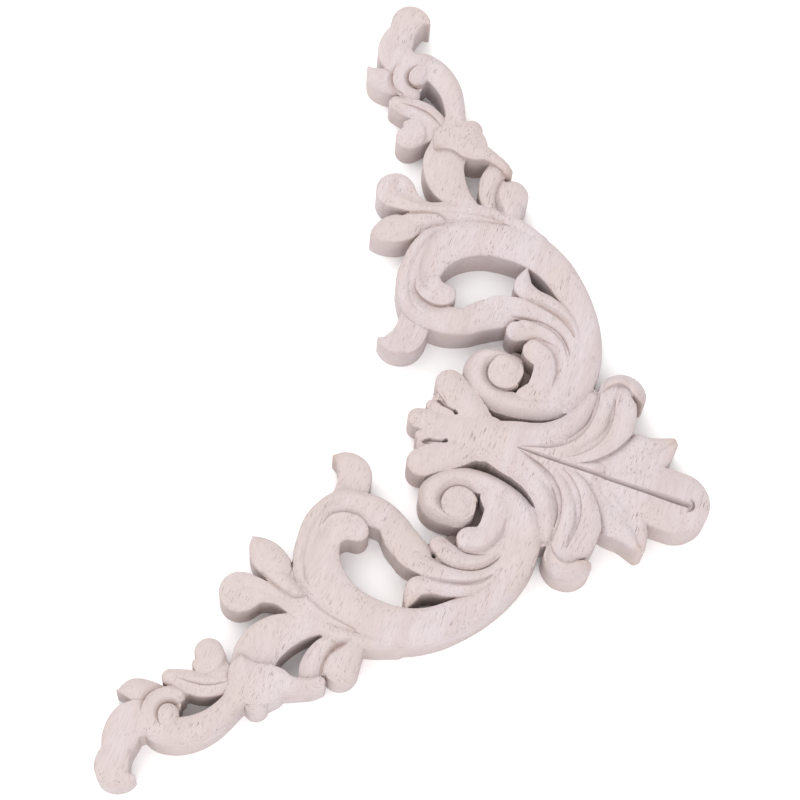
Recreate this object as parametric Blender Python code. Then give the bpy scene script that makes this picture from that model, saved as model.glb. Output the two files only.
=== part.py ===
"""A carved wooden corner onlay: one flat-backed piece of pale hardwood.

The onlay is the same on both sides of its diagonal, so only the half at y > 0 is
described.  Every scroll, leaf and stem is a frond: a smooth line with a half width,
given in millimetres in the drawing frame.  There x runs along the diagonal towards
the tip of the centre leaf, y across it, and z up from the flat back.  The fronds
together give the outline and the height of the carving at each point.  A grid is
cut to that outline, raised to that height, thinned, mirrored and closed with
upright walls and a flat back.  Gouges and stop cuts then lower the carving.
"""

import math

import bmesh
import bpy
import numpy as np
from mathutils import Matrix

MM = 0.001

# Size of the onlay: the side of the square it fits, in the corner of a panel
SIDE = 200.0
DRAWN_SIDE = 200.0
SCALE = SIDE / DRAWN_SIDE

# Least height above the back, in mm
LOWEST = 2.0

# Fineness
GRID_STEP = 0.7
SPINE_STEP = 0.35
TRIANGLES_ON_HALF = 4400
NEAREST_CUT = 0.08
NARROWEST = 0.15
SLACK = 0.15
ON_PLANE = 0.05
TINY = 1e-6

# Cross sections, each with a power that flattens the middle and one that eases the sides:
# a dome, a broad dome, a straight-sided ridge or groove, and a groove with soft lips
DOME = (2.0, 1.0)
BROAD = (3.0, 1.0)
VEE = (1.0, 1.0)
SOFT = (2.0, 2.0)

WOOD_COLOUR = (0.70, 0.58, 0.53, 1.0)
WOOD_ROUGHNESS = 0.75


def frond(name, heights, section, spine, rule="join", crest=0.0):
    """One stroke of carving.  Its heights above the back are of the left side, the crest
    and the right side, looking along the spine; the crest stands at a place across it,
    from -1 at the right side to 1 at the left one.  Its knots hold (x, y, half width) and
    may add a lift.  Where it meets others it joins them at the greater height."""
    return {"name": name, "heights": heights, "section": section, "rule": rule,
            "crest": crest, "line": smooth_line(spine)}


def gouge(name, depth, section, spine):
    """A groove cut along a line, deepest where it is widest."""
    return frond(name, (0.0, depth, 0.0), section, spine, rule="carve")


def step_cut(name, depth, spine, side):
    """A stop cut along a line, with the wood pared away on one side of it only."""
    return frond(name, (0.0, depth, 0.0), VEE, spine, rule="carve " + side)


def smooth_line(spine):
    """A curve through the knots, spaced evenly enough for round ends and sides."""
    knots = np.array([tuple(knot) + (0.0,) * (4 - len(knot)) for knot in spine], dtype=float)
    padded = np.vstack([2 * knots[0] - knots[1], knots, 2 * knots[-1] - knots[-2]])
    stretches = []
    for before, start, end, after in zip(padded, padded[1:], padded[2:], padded[3:]):
        stretches.append(curve_stretch(before, start, end, after))
    line = np.vstack(stretches + [knots[-1:]])
    line[:, 2] = np.maximum(line[:, 2], NARROWEST)
    return line


def curve_stretch(before, start, end, after):
    """The part of a centripetal Catmull-Rom curve between its two middle knots."""
    times = [0.0]
    for one, other in ((before, start), (start, end), (end, after)):
        gap = max(math.dist(one[:2], other[:2]), 1e-6)
        times.append(times[-1] + math.sqrt(gap))
    t0, t1, t2, t3 = times
    count = max(2, int(math.dist(start[:2], end[:2]) / SPINE_STEP))
    t = np.linspace(t1, t2, count, endpoint=False)[:, None]
    a1 = ((t1 - t) * before + (t - t0) * start) / (t1 - t0)
    a2 = ((t2 - t) * start + (t - t1) * end) / (t2 - t1)
    a3 = ((t3 - t) * end + (t - t2) * after) / (t3 - t2)
    b1 = ((t2 - t) * a1 + (t - t0) * a2) / (t2 - t0)
    b2 = ((t3 - t) * a2 + (t - t1) * a3) / (t3 - t1)
    return ((t2 - t) * b1 + (t - t1) * b2) / (t2 - t1)


def scroll_fronds():
    """The large C-scroll of an arm, its volute, leaf fingers and horn."""
    return [
        frond("band", (10.9, 12.3, 11.2), BROAD, [
            (-28, 41.8, 5.2, -1.0), (-33, 38.7, 5.1, -0.6), (-38, 34.6, 4.4, -0.3),
            (-44.5, 33.4, 5.0), (-51, 35.4, 5.4), (-55.4, 41, 6.3), (-55.7, 48, 6.5),
            (-53.2, 55, 6.6), (-48.8, 59.9, 6.6), (-42, 63.4, 6.2), (-35, 64.8, 6.0),
            (-25, 64.7, 6.0), (-16.9, 61.4, 5.5), (-10.4, 56.2, 5.1), (-4.3, 49.6, 4.5),
            (-0.3, 43.1, 4.2), (2.1, 36, 4.2), (2.8, 30, 4.1), (2.1, 24.5, 3.8),
            (-0.3, 19.6, 3.5)]),
        frond("ring", (9.4, 12.7, 11.0), DOME, [
            (2.8, 30, 4.1, -1.0), (2.1, 24.5, 3.8, -0.4), (-0.3, 19.6, 3.5), (-4.5, 16.4, 3.5),
            (-10, 14.4, 3.5), (-16, 13.6, 3.6), (-22, 14.2, 3.7), (-26.8, 16.8, 3.8),
            (-29.4, 21, 3.7), (-28.5, 25.0, 3.3), (-25.8, 26.6, 3.1), (-22.4, 26.2, 3.6),
            (-19.4, 24.6, 4.6, 0.1), (-19.8, 23.2, 4.9, 0.1)], crest=0.1),
        frond("run of the scroll into the ring", (11.4, 12.4, 11.4), DOME, [
            (-1.5, 36, 2.6, -0.4), (-2.2, 30, 3.6), (-2.4, 24, 4.0), (-4.4, 19.4, 3.6),
            (-9, 17, 3.0, -0.6)]),
        frond("eye", (11.2, 12.8, 11.2), DOME, [
            (-20.4, 22.9, 5.0), (-20.3, 22.7, 5.0)]),
        frond("floor beside the eye", (2.5, 2.5, 2.5), DOME, [
            (-19, 31.8, 2.2), (-15.5, 28.6, 3.2), (-13.5, 24, 3.2), (-16, 18, 3.0)]),
        frond("web between the fingers", (10.6, 10.6, 10.6), DOME, [
            (-18, 42, 3.6), (-10, 41, 4.6), (-4, 36, 4.0), (-2, 28, 3.6), (-3, 21, 3.0)]),
        frond("roll along the outer edge", (10.8, 12.9, 11.2), DOME, [
            (-52, 63.6, 1.2, -0.9), (-56.5, 60, 1.9, -0.3), (-59.0, 54.5, 2.3), (-59.8, 48, 2.4),
            (-59.4, 42, 2.4), (-57.6, 36.8, 2.4), (-54.3, 32.9, 2.5, -0.2),
            (-49.5, 31.2, 2.5, -0.5), (-44, 31.3, 2.3, -1.0), (-38.5, 32.7, 1.6, -1.6)]),
        frond("hook in the hole", (11.6, 12.5, 11.6), DOME, [
            (-53.2, 52, 2.6, -1.2), (-53.2, 47, 3.2, -0.5), (-51.2, 42.3, 3.9),
            (-48.3, 40.7, 4.0), (-46.3, 40.9, 3.6)]),
        frond("horn", (9.9, 10.6, 9.9), BROAD, [
            (-52.5, 35, 4.5), (-52.0, 28, 5.0), (-52.7, 23.6, 4.9), (-54.6, 21.7, 4.1),
            (-57.5, 20.4, 2.3), (-60.5, 20.5, 0.5)]),
        frond("first finger", (12.0, 12.9, 11.9), DOME, [
            (-24.8, 58.4, 0.4, -1.4), (-24.7, 55, 1.9, -0.7), (-23.9, 51.5, 3.0),
            (-20, 50.0, 2.4), (-15, 49.2, 2.3), (-10, 47.5, 1.9), (-6, 44.8, 1.6, -0.1),
            (-3.3, 41.3, 1.3, -0.4), (-2.0, 36.5, 1.0, -1.2)]),
        frond("second finger", (11.9, 12.1, 10.6), DOME, [
            (-29, 41.8, 4.8, -0.4), (-25, 44.0, 3.6), (-20, 44.6, 3.3), (-15, 44.2, 3.0),
            (-10, 42.9, 2.6), (-6, 40.3, 2.2), (-3.9, 36.6, 1.8, -0.3), (-3.0, 32, 1.3, -1.0)],
               crest=0.5),
        frond("third finger", (12.1, 12.4, 10.5), DOME, [
            (-21.6, 36.8, 2.9), (-18, 38.4, 3.2), (-13.5, 38.8, 2.9), (-9.5, 37.5, 2.6),
            (-6.5, 34.6, 2.2), (-4.6, 30.5, 1.8, -0.3), (-4.0, 25, 1.4, -1.0)], crest=0.5),
        frond("inner turn", (12.1, 12.9, 11.6), DOME, [
            (-13.6, 32.4, 3.9), (-9.9, 31.2, 4.2), (-8.2, 28, 3.9), (-8.0, 24, 4.0),
            (-8.6, 20, 3.9, -0.3), (-11.2, 17.6, 3.0, -0.6)], crest=0.2),
    ]


def shoulder_fronds():
    """Leaves and stems that leave the scroll at the shoulder of an arm."""
    return [
        frond("club leaf", (11.3, 11.9, 10.7), DOME, [
            (-22, 69.0, 1.2, -0.4), (-30, 71.8, 1.8), (-38, 73.0, 2.1), (-46, 72.4, 2.2),
            (-54, 70.3, 2.2), (-61, 68.0, 2.3), (-66.8, 68.1, 3.6), (-72.0, 70.2, 6.1)]),
        frond("rail under the club leaf", (11.6, 12.2, 10.8), DOME, [
            (-64, 61.6, 3.2, -0.4), (-57, 65.2, 2.6), (-50, 68.0, 1.8), (-43, 69.6, 1.1),
            (-37, 70.3, 0.5)]),
        frond("bud leaf", (10.7, 12.3, 11.0), DOME, [
            (-73.9, 53.4, 0.5, -0.8), (-71.3, 55.4, 3.4, -0.4), (-67.9, 57.6, 4.9),
            (-65.4, 59.0, 4.7)]),
        frond("web behind the rails", (10.4, 10.4, 10.4), DOME, [
            (-60, 61, 3.0), (-52, 66.5, 3.0), (-44, 70, 3.0), (-34, 71.5, 3.0), (-24, 69, 2.5)]),
        frond("stem", (10.5, 11.3, 10.5), BROAD, [
            (-46, 72.2, 2.0), (-52.0, 74.4, 3.9), (-58.0, 78.9, 6.0), (-61.1, 85, 6.6),
            (-61.0, 90, 6.4)]),
        frond("inner strand", (10.3, 11.5, 10.3), DOME, [
            (-41.8, 73.6, 1.5), (-44.2, 78.6, 2.8), (-45.0, 84, 3.4), (-44.3, 88, 3.3)]),
        frond("outer strand", (10.5, 11.7, 10.2), DOME, [
            (-34.9, 73.5, 2.6), (-35.9, 77, 3.8), (-36.9, 81.2, 5.1), (-37.0, 81.4, 5.1)]),
        frond("web between the strands", (10.2, 10.2, 10.2), DOME, [
            (-38.6, 74, 2.8), (-40.4, 79, 2.2), (-41.2, 84, 1.6)]),
    ]


def arm_end_fronds():
    """The bell, buds and curled tip at the end of an arm."""
    return [
        frond("knob", (9.9, 11.9, 9.9), DOME, [(-58.4, 97, 2.4), (-56.6, 99.3, 3.5)]),
        frond("ball leaf", (9.9, 11.0, 9.9), BROAD, [
            (-66.5, 94.0, 3.0, -0.6), (-70.0, 92.8, 3.6, -0.5), (-73.6, 90.9, 4.5),
            (-74.2, 90.6, 4.6)]),
        frond("side leaf", (10.3, 11.3, 9.9), DOME, [
            (-82.1, 100.7, 2.5, -0.5), (-78, 100.3, 3.2), (-73.5, 100.1, 3.7), (-69, 98.8, 3.2),
            (-65, 96.5, 2.6)]),
        frond("curl", (10.9, 12.2, 10.6), DOME, [
            (-62.3, 95, 3.4, -0.4), (-62.5, 101.2, 3.2), (-64.5, 105.8, 3.4),
            (-67.3, 110.2, 3.8), (-71.2, 113.7, 4.2), (-75.6, 115.8, 4.4), (-79.8, 115.7, 4.7),
            (-82.9, 113.0, 4.0, -0.2), (-83.2, 109, 3.1, -0.4), (-81, 106, 2.8, -0.6),
            (-78.2, 105.2, 2.2, -0.8)], crest=-0.3),
        frond("button in the curl", (10.8, 12.2, 10.8), DOME, [
            (-76.4, 114.4, 2.0, -0.2), (-78.2, 112.4, 3.0), (-78.6, 111.4, 3.0)]),
        frond("floor of the curl", (9.8, 9.8, 9.8), DOME, [
            (-80, 111, 3.0), (-78.6, 108.6, 2.4), (-79.5, 104.4, 2.6), (-75.4, 102.2, 1.4)]),
        frond("web above the ball leaf", (9.6, 9.6, 9.6), DOME, [
            (-77.0, 95.2, 1.3), (-73, 95.6, 2.2), (-68, 95, 2.8)]),
        frond("tip leaf", (10.4, 11.2, 10.3), BROAD, [
            (-84.5, 113, 3.5, 0.5), (-88.5, 116.4, 5.1, 0.4), (-89.3, 121.4, 5.3), (-89.0, 126, 4.4),
            (-88.3, 131.2, 4.9), (-85.8, 132.6, 3.2), (-83.4, 132.5, 1.7), (-81.8, 131.6, 0.6)]),
        frond("tip hook", (8.6, 10.7, 10.2), DOME, [
            (-81.5, 107.6, 3.6), (-86.5, 107.7, 4.3), (-90.5, 107.4, 3.4), (-93.4, 108.6, 1.6),
            (-95.0, 109.6, 0.4)]),
        frond("bell", (11.7, 13.3, 12.9), DOME, [
            (-65.4, 86.9, 0.6), (-64.9, 89.4, 1.8), (-62.6, 93.4, 4.2), (-59.0, 95.2, 5.8),
            (-55.2, 93.7, 5.4), (-52.6, 91.9, 3.6), (-50.0, 92.0, 2.7), (-46.3, 91.2, 2.0),
            (-42.8, 89.8, 1.7), (-40.9, 88.4, 1.5)], crest=-0.3),
    ]


def crown_fronds():
    """The bud on the diagonal and the shoulders of the leaf behind it."""
    return [
        frond("nose", (10.6, 11.7, 10.6), DOME, [
            (-40.7, 0, 3.2, -0.8), (-37.5, 0, 3.7), (-24, 0, 4.4)]),
        frond("bump", (10.6, 11.4, 10.6), DOME, [
            (-38.0, 5.1, 1.8, -0.5), (-34, 4.4, 2.4), (-29, 3.5, 2.6)]),
        frond("side petal", (11.0, 12.2, 11.2), DOME, [
            (-22.5, 5.0, 3.6), (-27, 8, 4.4), (-31.5, 10.8, 4.6), (-35.1, 13.5, 4.5, -0.3)]),
        frond("neck", (11.0, 12.7, 11.0), BROAD, [
            (-28, 0, 5.6, -0.8), (-20.5, 0, 7.6), (-17.3, 0, 6.4), (-13, 0, 7.8), (-8, 0, 9.2),
            (-2, 0, 10), (6, 0, 8), (14, 0, 6)]),
        frond("shoulder", (10.9, 12.4, 10.9), DOME, [
            (-16, 3.0, 3.0), (-9, 5.3, 3.6), (-2, 8.1, 3.5), (3.5, 13.2, 3.2),
            (6.0, 18.8, 2.9), (7.2, 23.4, 2.1)]),
        frond("floor under the scroll", (2.5, 2.5, 2.5), DOME, [
            (-22, 9.0, 2.0), (-12, 10, 3.0), (-3, 12.5, 3.0), (4, 19, 3.0), (6.5, 24, 2.5)]),
        frond("bridge to the scroll", (8.6, 8.6, 8.6), DOME, [
            (2.6, 18.4, 1.6), (4.4, 21.6, 2.0), (6.2, 24.6, 1.6)]),
        frond("floor of the petals", (8.6, 8.6, 8.6), DOME, [
            (-36, 7.5, 2.6), (-32, 6.5, 2.6), (-28, 5.5, 2.6)]),
        frond("shelf beside the petal", (8.6, 8.6, 8.6), DOME, [
            (-33, 16, 1.6), (-29, 13.0, 1.6)]),
    ]


def leaf_fronds():
    """The centre leaf: two curls, a pointed lobe, a round tip and its midrib."""
    return [
        frond("first curl", (11.9, 12.9, 11.0), DOME, [
            (-5, 1.2, 1.2, -0.3), (4, 4.2, 2.6), (8.9, 9.2, 3.0), (11.6, 15, 3.1),
            (12.0, 22, 3.2, -0.2), (12.8, 28, 4.4, -1.6)]),
        frond("second curl", (11.2, 13.2, 12.4), DOME, [
            (3, 1.4, 1.2, -0.6), (10, 4.8, 3.0), (15.6, 10.8, 3.8), (18.0, 17, 4.0),
            (17.2, 22, 4.4, -0.3), (15.0, 28.0, 4.2, -1.8)], crest=-0.3),
        frond("rolled rim", (10.2, 13.7, 13.3), DOME, [
            (9.0, 26.3, 0.6, -1.8), (9.9, 29.6, 1.6, -0.6), (13.6, 32.4, 2.1), (17.8, 32.0, 2.4),
            (20.3, 29.8, 2.3), (20.9, 28.6, 2.0, -0.3)], crest=-0.8),
        frond("upper side of the pointed lobe", (11.0, 12.4, 10.8), DOME, [
            (9, 1.6, 1.8, -0.5), (16, 5.6, 3.6), (23, 11.0, 5.6), (29.5, 14.4, 3.3),
            (34.3, 18.0, 1.5)], crest=0.2),
        frond("lower side of the pointed lobe", (10.8, 11.9, 11.0), DOME, [
            (14, 1.4, 2.2, -0.4), (22, 4.6, 3.8), (29, 8.8, 3.9), (33, 13.2, 2.8),
            (34.8, 17.4, 1.5)]),
        frond("tip blade", (10.8, 12.0, 10.8), BROAD, [
            (20, 0, 6.6), (28, 0, 8.8), (34, 0, 9.7), (41.2, 0, 9.8)]),
        frond("web of the leaf", (10.9, 10.9, 10.9), DOME, [
            (0, 6, 4.0), (9, 12, 5.0), (11, 20, 4.0), (12, 27, 3.5)]),
    ]


def arm_cuts():
    """Grooves, stop cuts and pits of the arm."""
    return [
        frond("crescent beside the eye", (2.5, 2.5, 2.5), DOME, [
            (-15.9, 29.2, 0.3), (-14.2, 28.0, 1.0), (-13.1, 25.4, 1.4), (-13.4, 22.4, 1.1),
            (-14.6, 20.2, 0.4)], rule="cut"),
        step_cut("stop round the eye", 1.7, [
            (-21.8, 27.4, 0.3), (-23.9, 26.4, 1.5), (-25.3, 23.8, 2.2), (-25.1, 20.8, 2.5),
            (-23.4, 18.6, 2.6), (-20.4, 17.8, 2.4), (-17.4, 18.6, 1.9), (-15.2, 20.6, 0.8)],
                 "right"),
        gouge("flute of the hook", 1.0, DOME, [
            (-55.0, 61.0, 0.8), (-54.8, 57, 2.0), (-54.3, 52, 2.8), (-53.6, 47, 3.0),
            (-52, 43.0, 2.6), (-49.5, 41.0, 1.4)]),
        step_cut("stop under the hook", 1.5, [
            (-56.2, 42.6, 0.3), (-55.2, 39.6, 1.8), (-52.7, 37.6, 2.8), (-49.6, 36.7, 3.2),
            (-46.4, 36.9, 3.0), (-44.0, 38.3, 2.2), (-42.7, 40.4, 1.4)], "right"),
        gouge("valley before the fingers", 0.5, SOFT, [
            (-37.2, 41.5, 2.4), (-36.2, 37, 2.8), (-35.2, 31, 2.4)]),
        gouge("flute of the club leaf", 0.8, DOME, [
            (-72.6, 73.4, 1.0), (-70.8, 71.4, 2.4), (-67.2, 69.6, 2.0), (-62, 69.2, 1.5),
            (-56, 70.4, 1.1), (-50, 72.2, 0.8), (-44, 73.3, 0.4)]),
        gouge("groove between the strands", 1.3, VEE, [
            (-36.9, 73.2, 0.5), (-39.3, 75.6, 1.2), (-41.2, 78.6, 0.9), (-42.0, 82, 0.7),
            (-41.6, 86, 0.6)]),
        step_cut("stop beside the ball leaf", 0.9, [
            (-73.4, 95.2, 0.3), (-70.6, 94.2, 1.5), (-69.0, 92.2, 1.9), (-68.5, 89.8, 1.9),
            (-68.9, 87.4, 1.4)], "left"),
        step_cut("stop round the button", 1.4, [
            (-79.6, 115.2, 0.3), (-81.0, 113.6, 1.0), (-81.7, 111.2, 1.4), (-80.8, 109.0, 1.6),
            (-78.8, 108.3, 1.6), (-76.4, 109.2, 0.6)], "right"),
        step_cut("stop round the curl", 1.3, [
            (-85.6, 114.6, 0.3), (-86.6, 111.6, 1.3), (-86.2, 108.0, 1.8), (-84.2, 105.4, 1.8),
            (-81.4, 103.9, 1.2)], "right"),
    ]


def centre_cuts():
    """Grooves, stop cuts and pits of the bud and the centre leaf."""
    return [
        gouge("saddle of the neck", 0.45, SOFT, [
            (-19.6, 9.0, 2.2), (-20.8, 4.5, 3.2), (-21.4, 0, 3.4), (-20.8, -4.5, 3.2)]),
        frond("slit behind the scroll", (8.2, 8.2, 8.2), DOME, [
            (7.6, 27.6, 0.9), (5.6, 24.2, 0.8), (3.8, 21.4, 0.6), (2.4, 19.6, 0.25)],
               rule="cut"),
        step_cut("first vein", 1.3, [
            (-8.4, 0.6, 0.3), (-4, 1.9, 1.2), (0, 3.2, 1.7), (4, 5.7, 1.9), (7, 9, 1.9),
            (8.8, 13, 1.6), (9.6, 17.5, 1.3), (9.6, 22, 1.3), (9.0, 26, 0.8)], "left"),
        step_cut("third vein", 1.5, [
            (9.0, 1.2, 0.3), (13.6, 3.9, 1.5), (17.6, 7.8, 2.2), (20.4, 12.0, 2.4),
            (22.4, 16.6, 2.0)], "right"),
        gouge("midrib", 3.0, VEE, [
            (-9, 0, 0.3), (-3, 0, 0.65), (8, 0, 0.75), (30, 0, 0.85), (42, 0, 1.1),
            (44.6, 0, 0.9)]),
        step_cut("end of the midrib", 2.2, [
            (42.6, 3.0, 0.3), (44.8, 2.7, 1.6), (46.3, 1.6, 2.4), (46.8, 0.0, 2.8),
            (46.3, -1.6, 2.4)], "right"),
    ]


def holes():
    """Small gaps sawn into the outline."""
    return [
        frond("gap under the rolled rim", (0.0, 0.0, 0.0), DOME, [
            (23.6, 25.8, 1.2), (21.2, 26.4, 0.7), (18.8, 27.8, 0.3)], rule="hole"),
    ]


def profile(stroke, across):
    """Height of the cross section at a place across it, from -1 to 1."""
    left, top, right = stroke["heights"]
    on_left = across > stroke["crest"]
    span = np.where(on_left, 1 - stroke["crest"], 1 + stroke["crest"])
    share = np.clip(np.abs(across - stroke["crest"]) / span, 0, 1)
    side = np.where(on_left, left, right)
    flatness, ease = stroke["section"]
    return side + (top - side) * (1 - share ** flatness) ** ease


def section_height(stroke, place, lean):
    """Height at a place out from the spine.  Round the end of a spine, where lean passes
    from 1 (left) to -1 (right), the left half of the section turns into the right half."""
    share = (1 + lean) / 2
    return share * profile(stroke, place) + (1 - share) * profile(stroke, -place)


def reach_of(stroke, points):
    """Place out from the spine (0 to 1 at the side), the lean to the left or right, the
    nearest point of the line, and the distance in mm outside the side."""
    line = stroke["line"]
    run = np.gradient(line[:, :2], axis=0)
    run /= np.linalg.norm(run, axis=1)[:, None]
    place = np.full(len(points), np.inf)
    lean = np.ones(len(points))
    nearest = np.zeros(len(points), dtype=int)
    gap = np.full(len(points), np.inf)
    for index, ((x, y, width, _), (run_x, run_y)) in enumerate(zip(line, run)):
        dx = points[:, 0] - x
        dy = points[:, 1] - y
        distance = np.hypot(dx, dy)
        nearer = distance / width < place
        place[nearer] = distance[nearer] / width
        side = run_x * dy - run_y * dx
        lean[nearer] = side[nearer] / np.maximum(distance[nearer], TINY)
        nearest[nearer] = index
        gap = np.minimum(gap, distance - width)
    return place, np.clip(lean, -1, 1), nearest, gap


def near(stroke, points):
    """Which points are close enough to a stroke to matter."""
    line = stroke["line"]
    margin = line[:, 2].max() + 2 * GRID_STEP
    low = line[:, :2].min(axis=0) - margin
    high = line[:, :2].max(axis=0) + margin
    return np.all((points > low) & (points < high), axis=1)


def carve(stroke, points, height):
    """Take the wood of one cut away from the heights of some points."""
    place, lean, nearest, _ = reach_of(stroke, points)
    covered = place < 1
    if stroke["rule"] == "cut":
        floor = stroke["heights"][1]
        height[covered] = np.minimum(height[covered], floor)
        return
    line = stroke["line"]
    share = line[nearest, 2] / line[:, 2].max()
    if stroke["rule"] == "carve left":
        share = share * np.clip(lean, 0, 1)
    if stroke["rule"] == "carve right":
        share = share * np.clip(-lean, 0, 1)
    depth = section_height(stroke, np.clip(place, 0, 1), lean) * share
    height[covered] -= depth[covered]


def measure(design, points):
    """Distance of each point outside the outline, and its height on the carving."""
    outside = np.full(len(points), np.inf)
    height = np.zeros(len(points))
    for stroke in design["fronds"]:
        close = near(stroke, points)
        place, lean, nearest, gap = reach_of(stroke, points[close])
        shape = section_height(stroke, np.clip(place, 0, 1), lean) + stroke["line"][nearest, 3]
        here = height[close]
        covered = ((place < 1) | (gap < SLACK)) & (shape > here)
        here[covered] = shape[covered]
        height[close] = here
        outside[close] = np.minimum(outside[close], gap)
    for stroke in design["gaps"]:
        close = near(stroke, points)
        gap = reach_of(stroke, points[close])[-1]
        outside[close] = np.maximum(outside[close], -gap)
    for stroke in design["cuts"]:
        close = near(stroke, points)
        here = height[close]
        carve(stroke, points[close], here)
        height[close] = here
    return outside, np.maximum(height, LOWEST)


def blank_grid(fronds):
    """A triangle grid over the half of the drawing at y >= 0."""
    lines = np.vstack([stroke["line"] for stroke in fronds])
    reach = lines[:, 2:]
    low = np.floor((lines[:, :2] - reach).min(axis=0) / GRID_STEP) - 1
    high = np.ceil((lines[:, :2] + reach).max(axis=0) / GRID_STEP) + 1
    low[1] = 0
    cells = (high - low).astype(int)
    mesh = bmesh.new()
    bmesh.ops.create_grid(mesh, x_segments=int(cells[0]), y_segments=int(cells[1]), size=0.5)
    size = cells * GRID_STEP
    middle = (low + high) / 2 * GRID_STEP
    place = Matrix.Translation((middle[0], middle[1], 0)) @ Matrix.Diagonal((size[0], size[1], 1, 1))
    bmesh.ops.transform(mesh, matrix=place, verts=mesh.verts)
    bmesh.ops.triangulate(mesh, faces=mesh.faces)
    return mesh


def vertex_points(mesh):
    return np.array([vertex.co.xy for vertex in mesh.verts])


def cut_to_outline(mesh, design):
    """Split the grid where the outline crosses it and drop what lies outside."""
    outside, _ = measure(design, vertex_points(mesh))
    mesh.verts.index_update()
    depth = {vertex: outside[vertex.index] for vertex in mesh.verts}
    rim = []
    for edge in list(mesh.edges):
        start, end = edge.verts
        if (depth[start] < 0) == (depth[end] < 0):
            continue
        share = 0.5
        if np.isfinite(depth[start]) and np.isfinite(depth[end]):
            share = depth[start] / (depth[start] - depth[end])
        share = min(max(share, NEAREST_CUT), 1 - NEAREST_CUT)
        rim.append(bmesh.utils.edge_split(edge, start, share)[1])
    bmesh.ops.connect_verts(mesh, verts=rim)
    waste = [vertex for vertex, gap in depth.items() if gap >= 0]
    bmesh.ops.delete(mesh, geom=waste, context="VERTS")
    bmesh.ops.triangulate(mesh, faces=mesh.faces)


def raise_carving(mesh, design):
    _, height = measure(design, vertex_points(mesh))
    for vertex, z in zip(mesh.verts, height):
        vertex.co.z = z


def thin_out(mesh):
    """Merge flat parts of the carving into larger triangles with a Decimate modifier."""
    dense = bpy.data.meshes.new("dense carving")
    mesh.to_mesh(dense)
    carrier = bpy.data.objects.new("dense carving", dense)
    bpy.context.scene.collection.objects.link(carrier)
    decimate = carrier.modifiers.new("thin out", "DECIMATE")
    decimate.ratio = TRIANGLES_ON_HALF / len(mesh.faces)
    graph = bpy.context.evaluated_depsgraph_get()
    thinned = bpy.data.meshes.new_from_object(carrier.evaluated_get(graph))
    mesh.clear()
    mesh.from_mesh(thinned)
    bpy.data.objects.remove(carrier)
    bpy.data.meshes.remove(thinned)
    bpy.data.meshes.remove(dense)


def close_with_walls_and_back(mesh):
    """Drop upright walls from the outline to the back plane and fill the back, but
    leave the half open on the diagonal."""
    rim = [edge for edge in mesh.edges if edge.is_boundary and not on_diagonal(edge)]
    walls = bmesh.ops.extrude_edge_only(mesh, edges=rim)["geom"]
    for item in walls:
        if isinstance(item, bmesh.types.BMVert):
            item.co.z = 0
    foot = [edge for edge in mesh.edges if edge.is_boundary and lies_flat(edge)]
    ends = [vertex for vertex in mesh.verts if lone_end(vertex, foot)]
    foot.append(mesh.edges.new(ends))
    bmesh.ops.triangle_fill(mesh, edges=foot, use_beauty=True)
    bmesh.ops.triangulate(mesh, faces=mesh.faces)
    bmesh.ops.recalc_face_normals(mesh, faces=mesh.faces)


def on_diagonal(edge):
    return all(abs(vertex.co.y) < ON_PLANE for vertex in edge.verts)


def lies_flat(edge):
    return all(vertex.co.z < ON_PLANE for vertex in edge.verts)


def lone_end(vertex, edges):
    return vertex.co.z < ON_PLANE and sum(vertex in edge.verts for edge in edges) == 1


def settle_on_planes(mesh):
    """Put what thinning left a hair off the back or the diagonal exactly on it."""
    for vertex in mesh.verts:
        if abs(vertex.co.z) < ON_PLANE:
            vertex.co.z = 0
        if vertex.is_boundary:
            vertex.co.y = 0


def mirror_across_diagonal(mesh):
    bmesh.ops.mirror(mesh, geom=mesh.verts[:] + mesh.edges[:] + mesh.faces[:],
                     matrix=Matrix.Identity(4), merge_dist=ON_PLANE / 10, axis="Y")
    bmesh.ops.recalc_face_normals(mesh, faces=mesh.faces)


def wood():
    material = bpy.data.materials.new("pale hardwood")
    material.use_nodes = True
    shader = material.node_tree.nodes["Principled BSDF"]
    shader.inputs["Base Color"].default_value = WOOD_COLOUR
    shader.inputs["Roughness"].default_value = WOOD_ROUGHNESS
    shader.inputs["Metallic"].default_value = 0.0
    return material


def place_in_corner_frame(mesh):
    """Turn the arms along X and Y and stand the back on the ground, centred."""
    turn = Matrix.Rotation(math.radians(45), 4, "Z") @ Matrix.Scale(SCALE * MM, 4)
    bmesh.ops.transform(mesh, matrix=turn, verts=mesh.verts)
    points = vertex_points(mesh)
    middle = (points.min(axis=0) + points.max(axis=0)) / 2
    bmesh.ops.translate(mesh, vec=(-middle[0], -middle[1], 0), verts=mesh.verts)


def build():
    for old in list(bpy.data.objects):
        bpy.data.objects.remove(old)
    fronds = scroll_fronds() + shoulder_fronds() + arm_end_fronds() + crown_fronds() + leaf_fronds()
    design = {"fronds": fronds, "cuts": arm_cuts() + centre_cuts(), "gaps": holes()}
    mesh = blank_grid(fronds)
    cut_to_outline(mesh, design)
    raise_carving(mesh, design)
    close_with_walls_and_back(mesh)
    thin_out(mesh)
    settle_on_planes(mesh)
    mirror_across_diagonal(mesh)
    place_in_corner_frame(mesh)
    data = bpy.data.meshes.new("corner_onlay")
    mesh.to_mesh(data)
    mesh.free()
    data.materials.append(wood())
    onlay = bpy.data.objects.new("corner_onlay", data)
    collection = bpy.data.collections.new("corner onlay")
    bpy.context.scene.collection.children.link(collection)
    collection.objects.link(onlay)


build()
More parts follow.
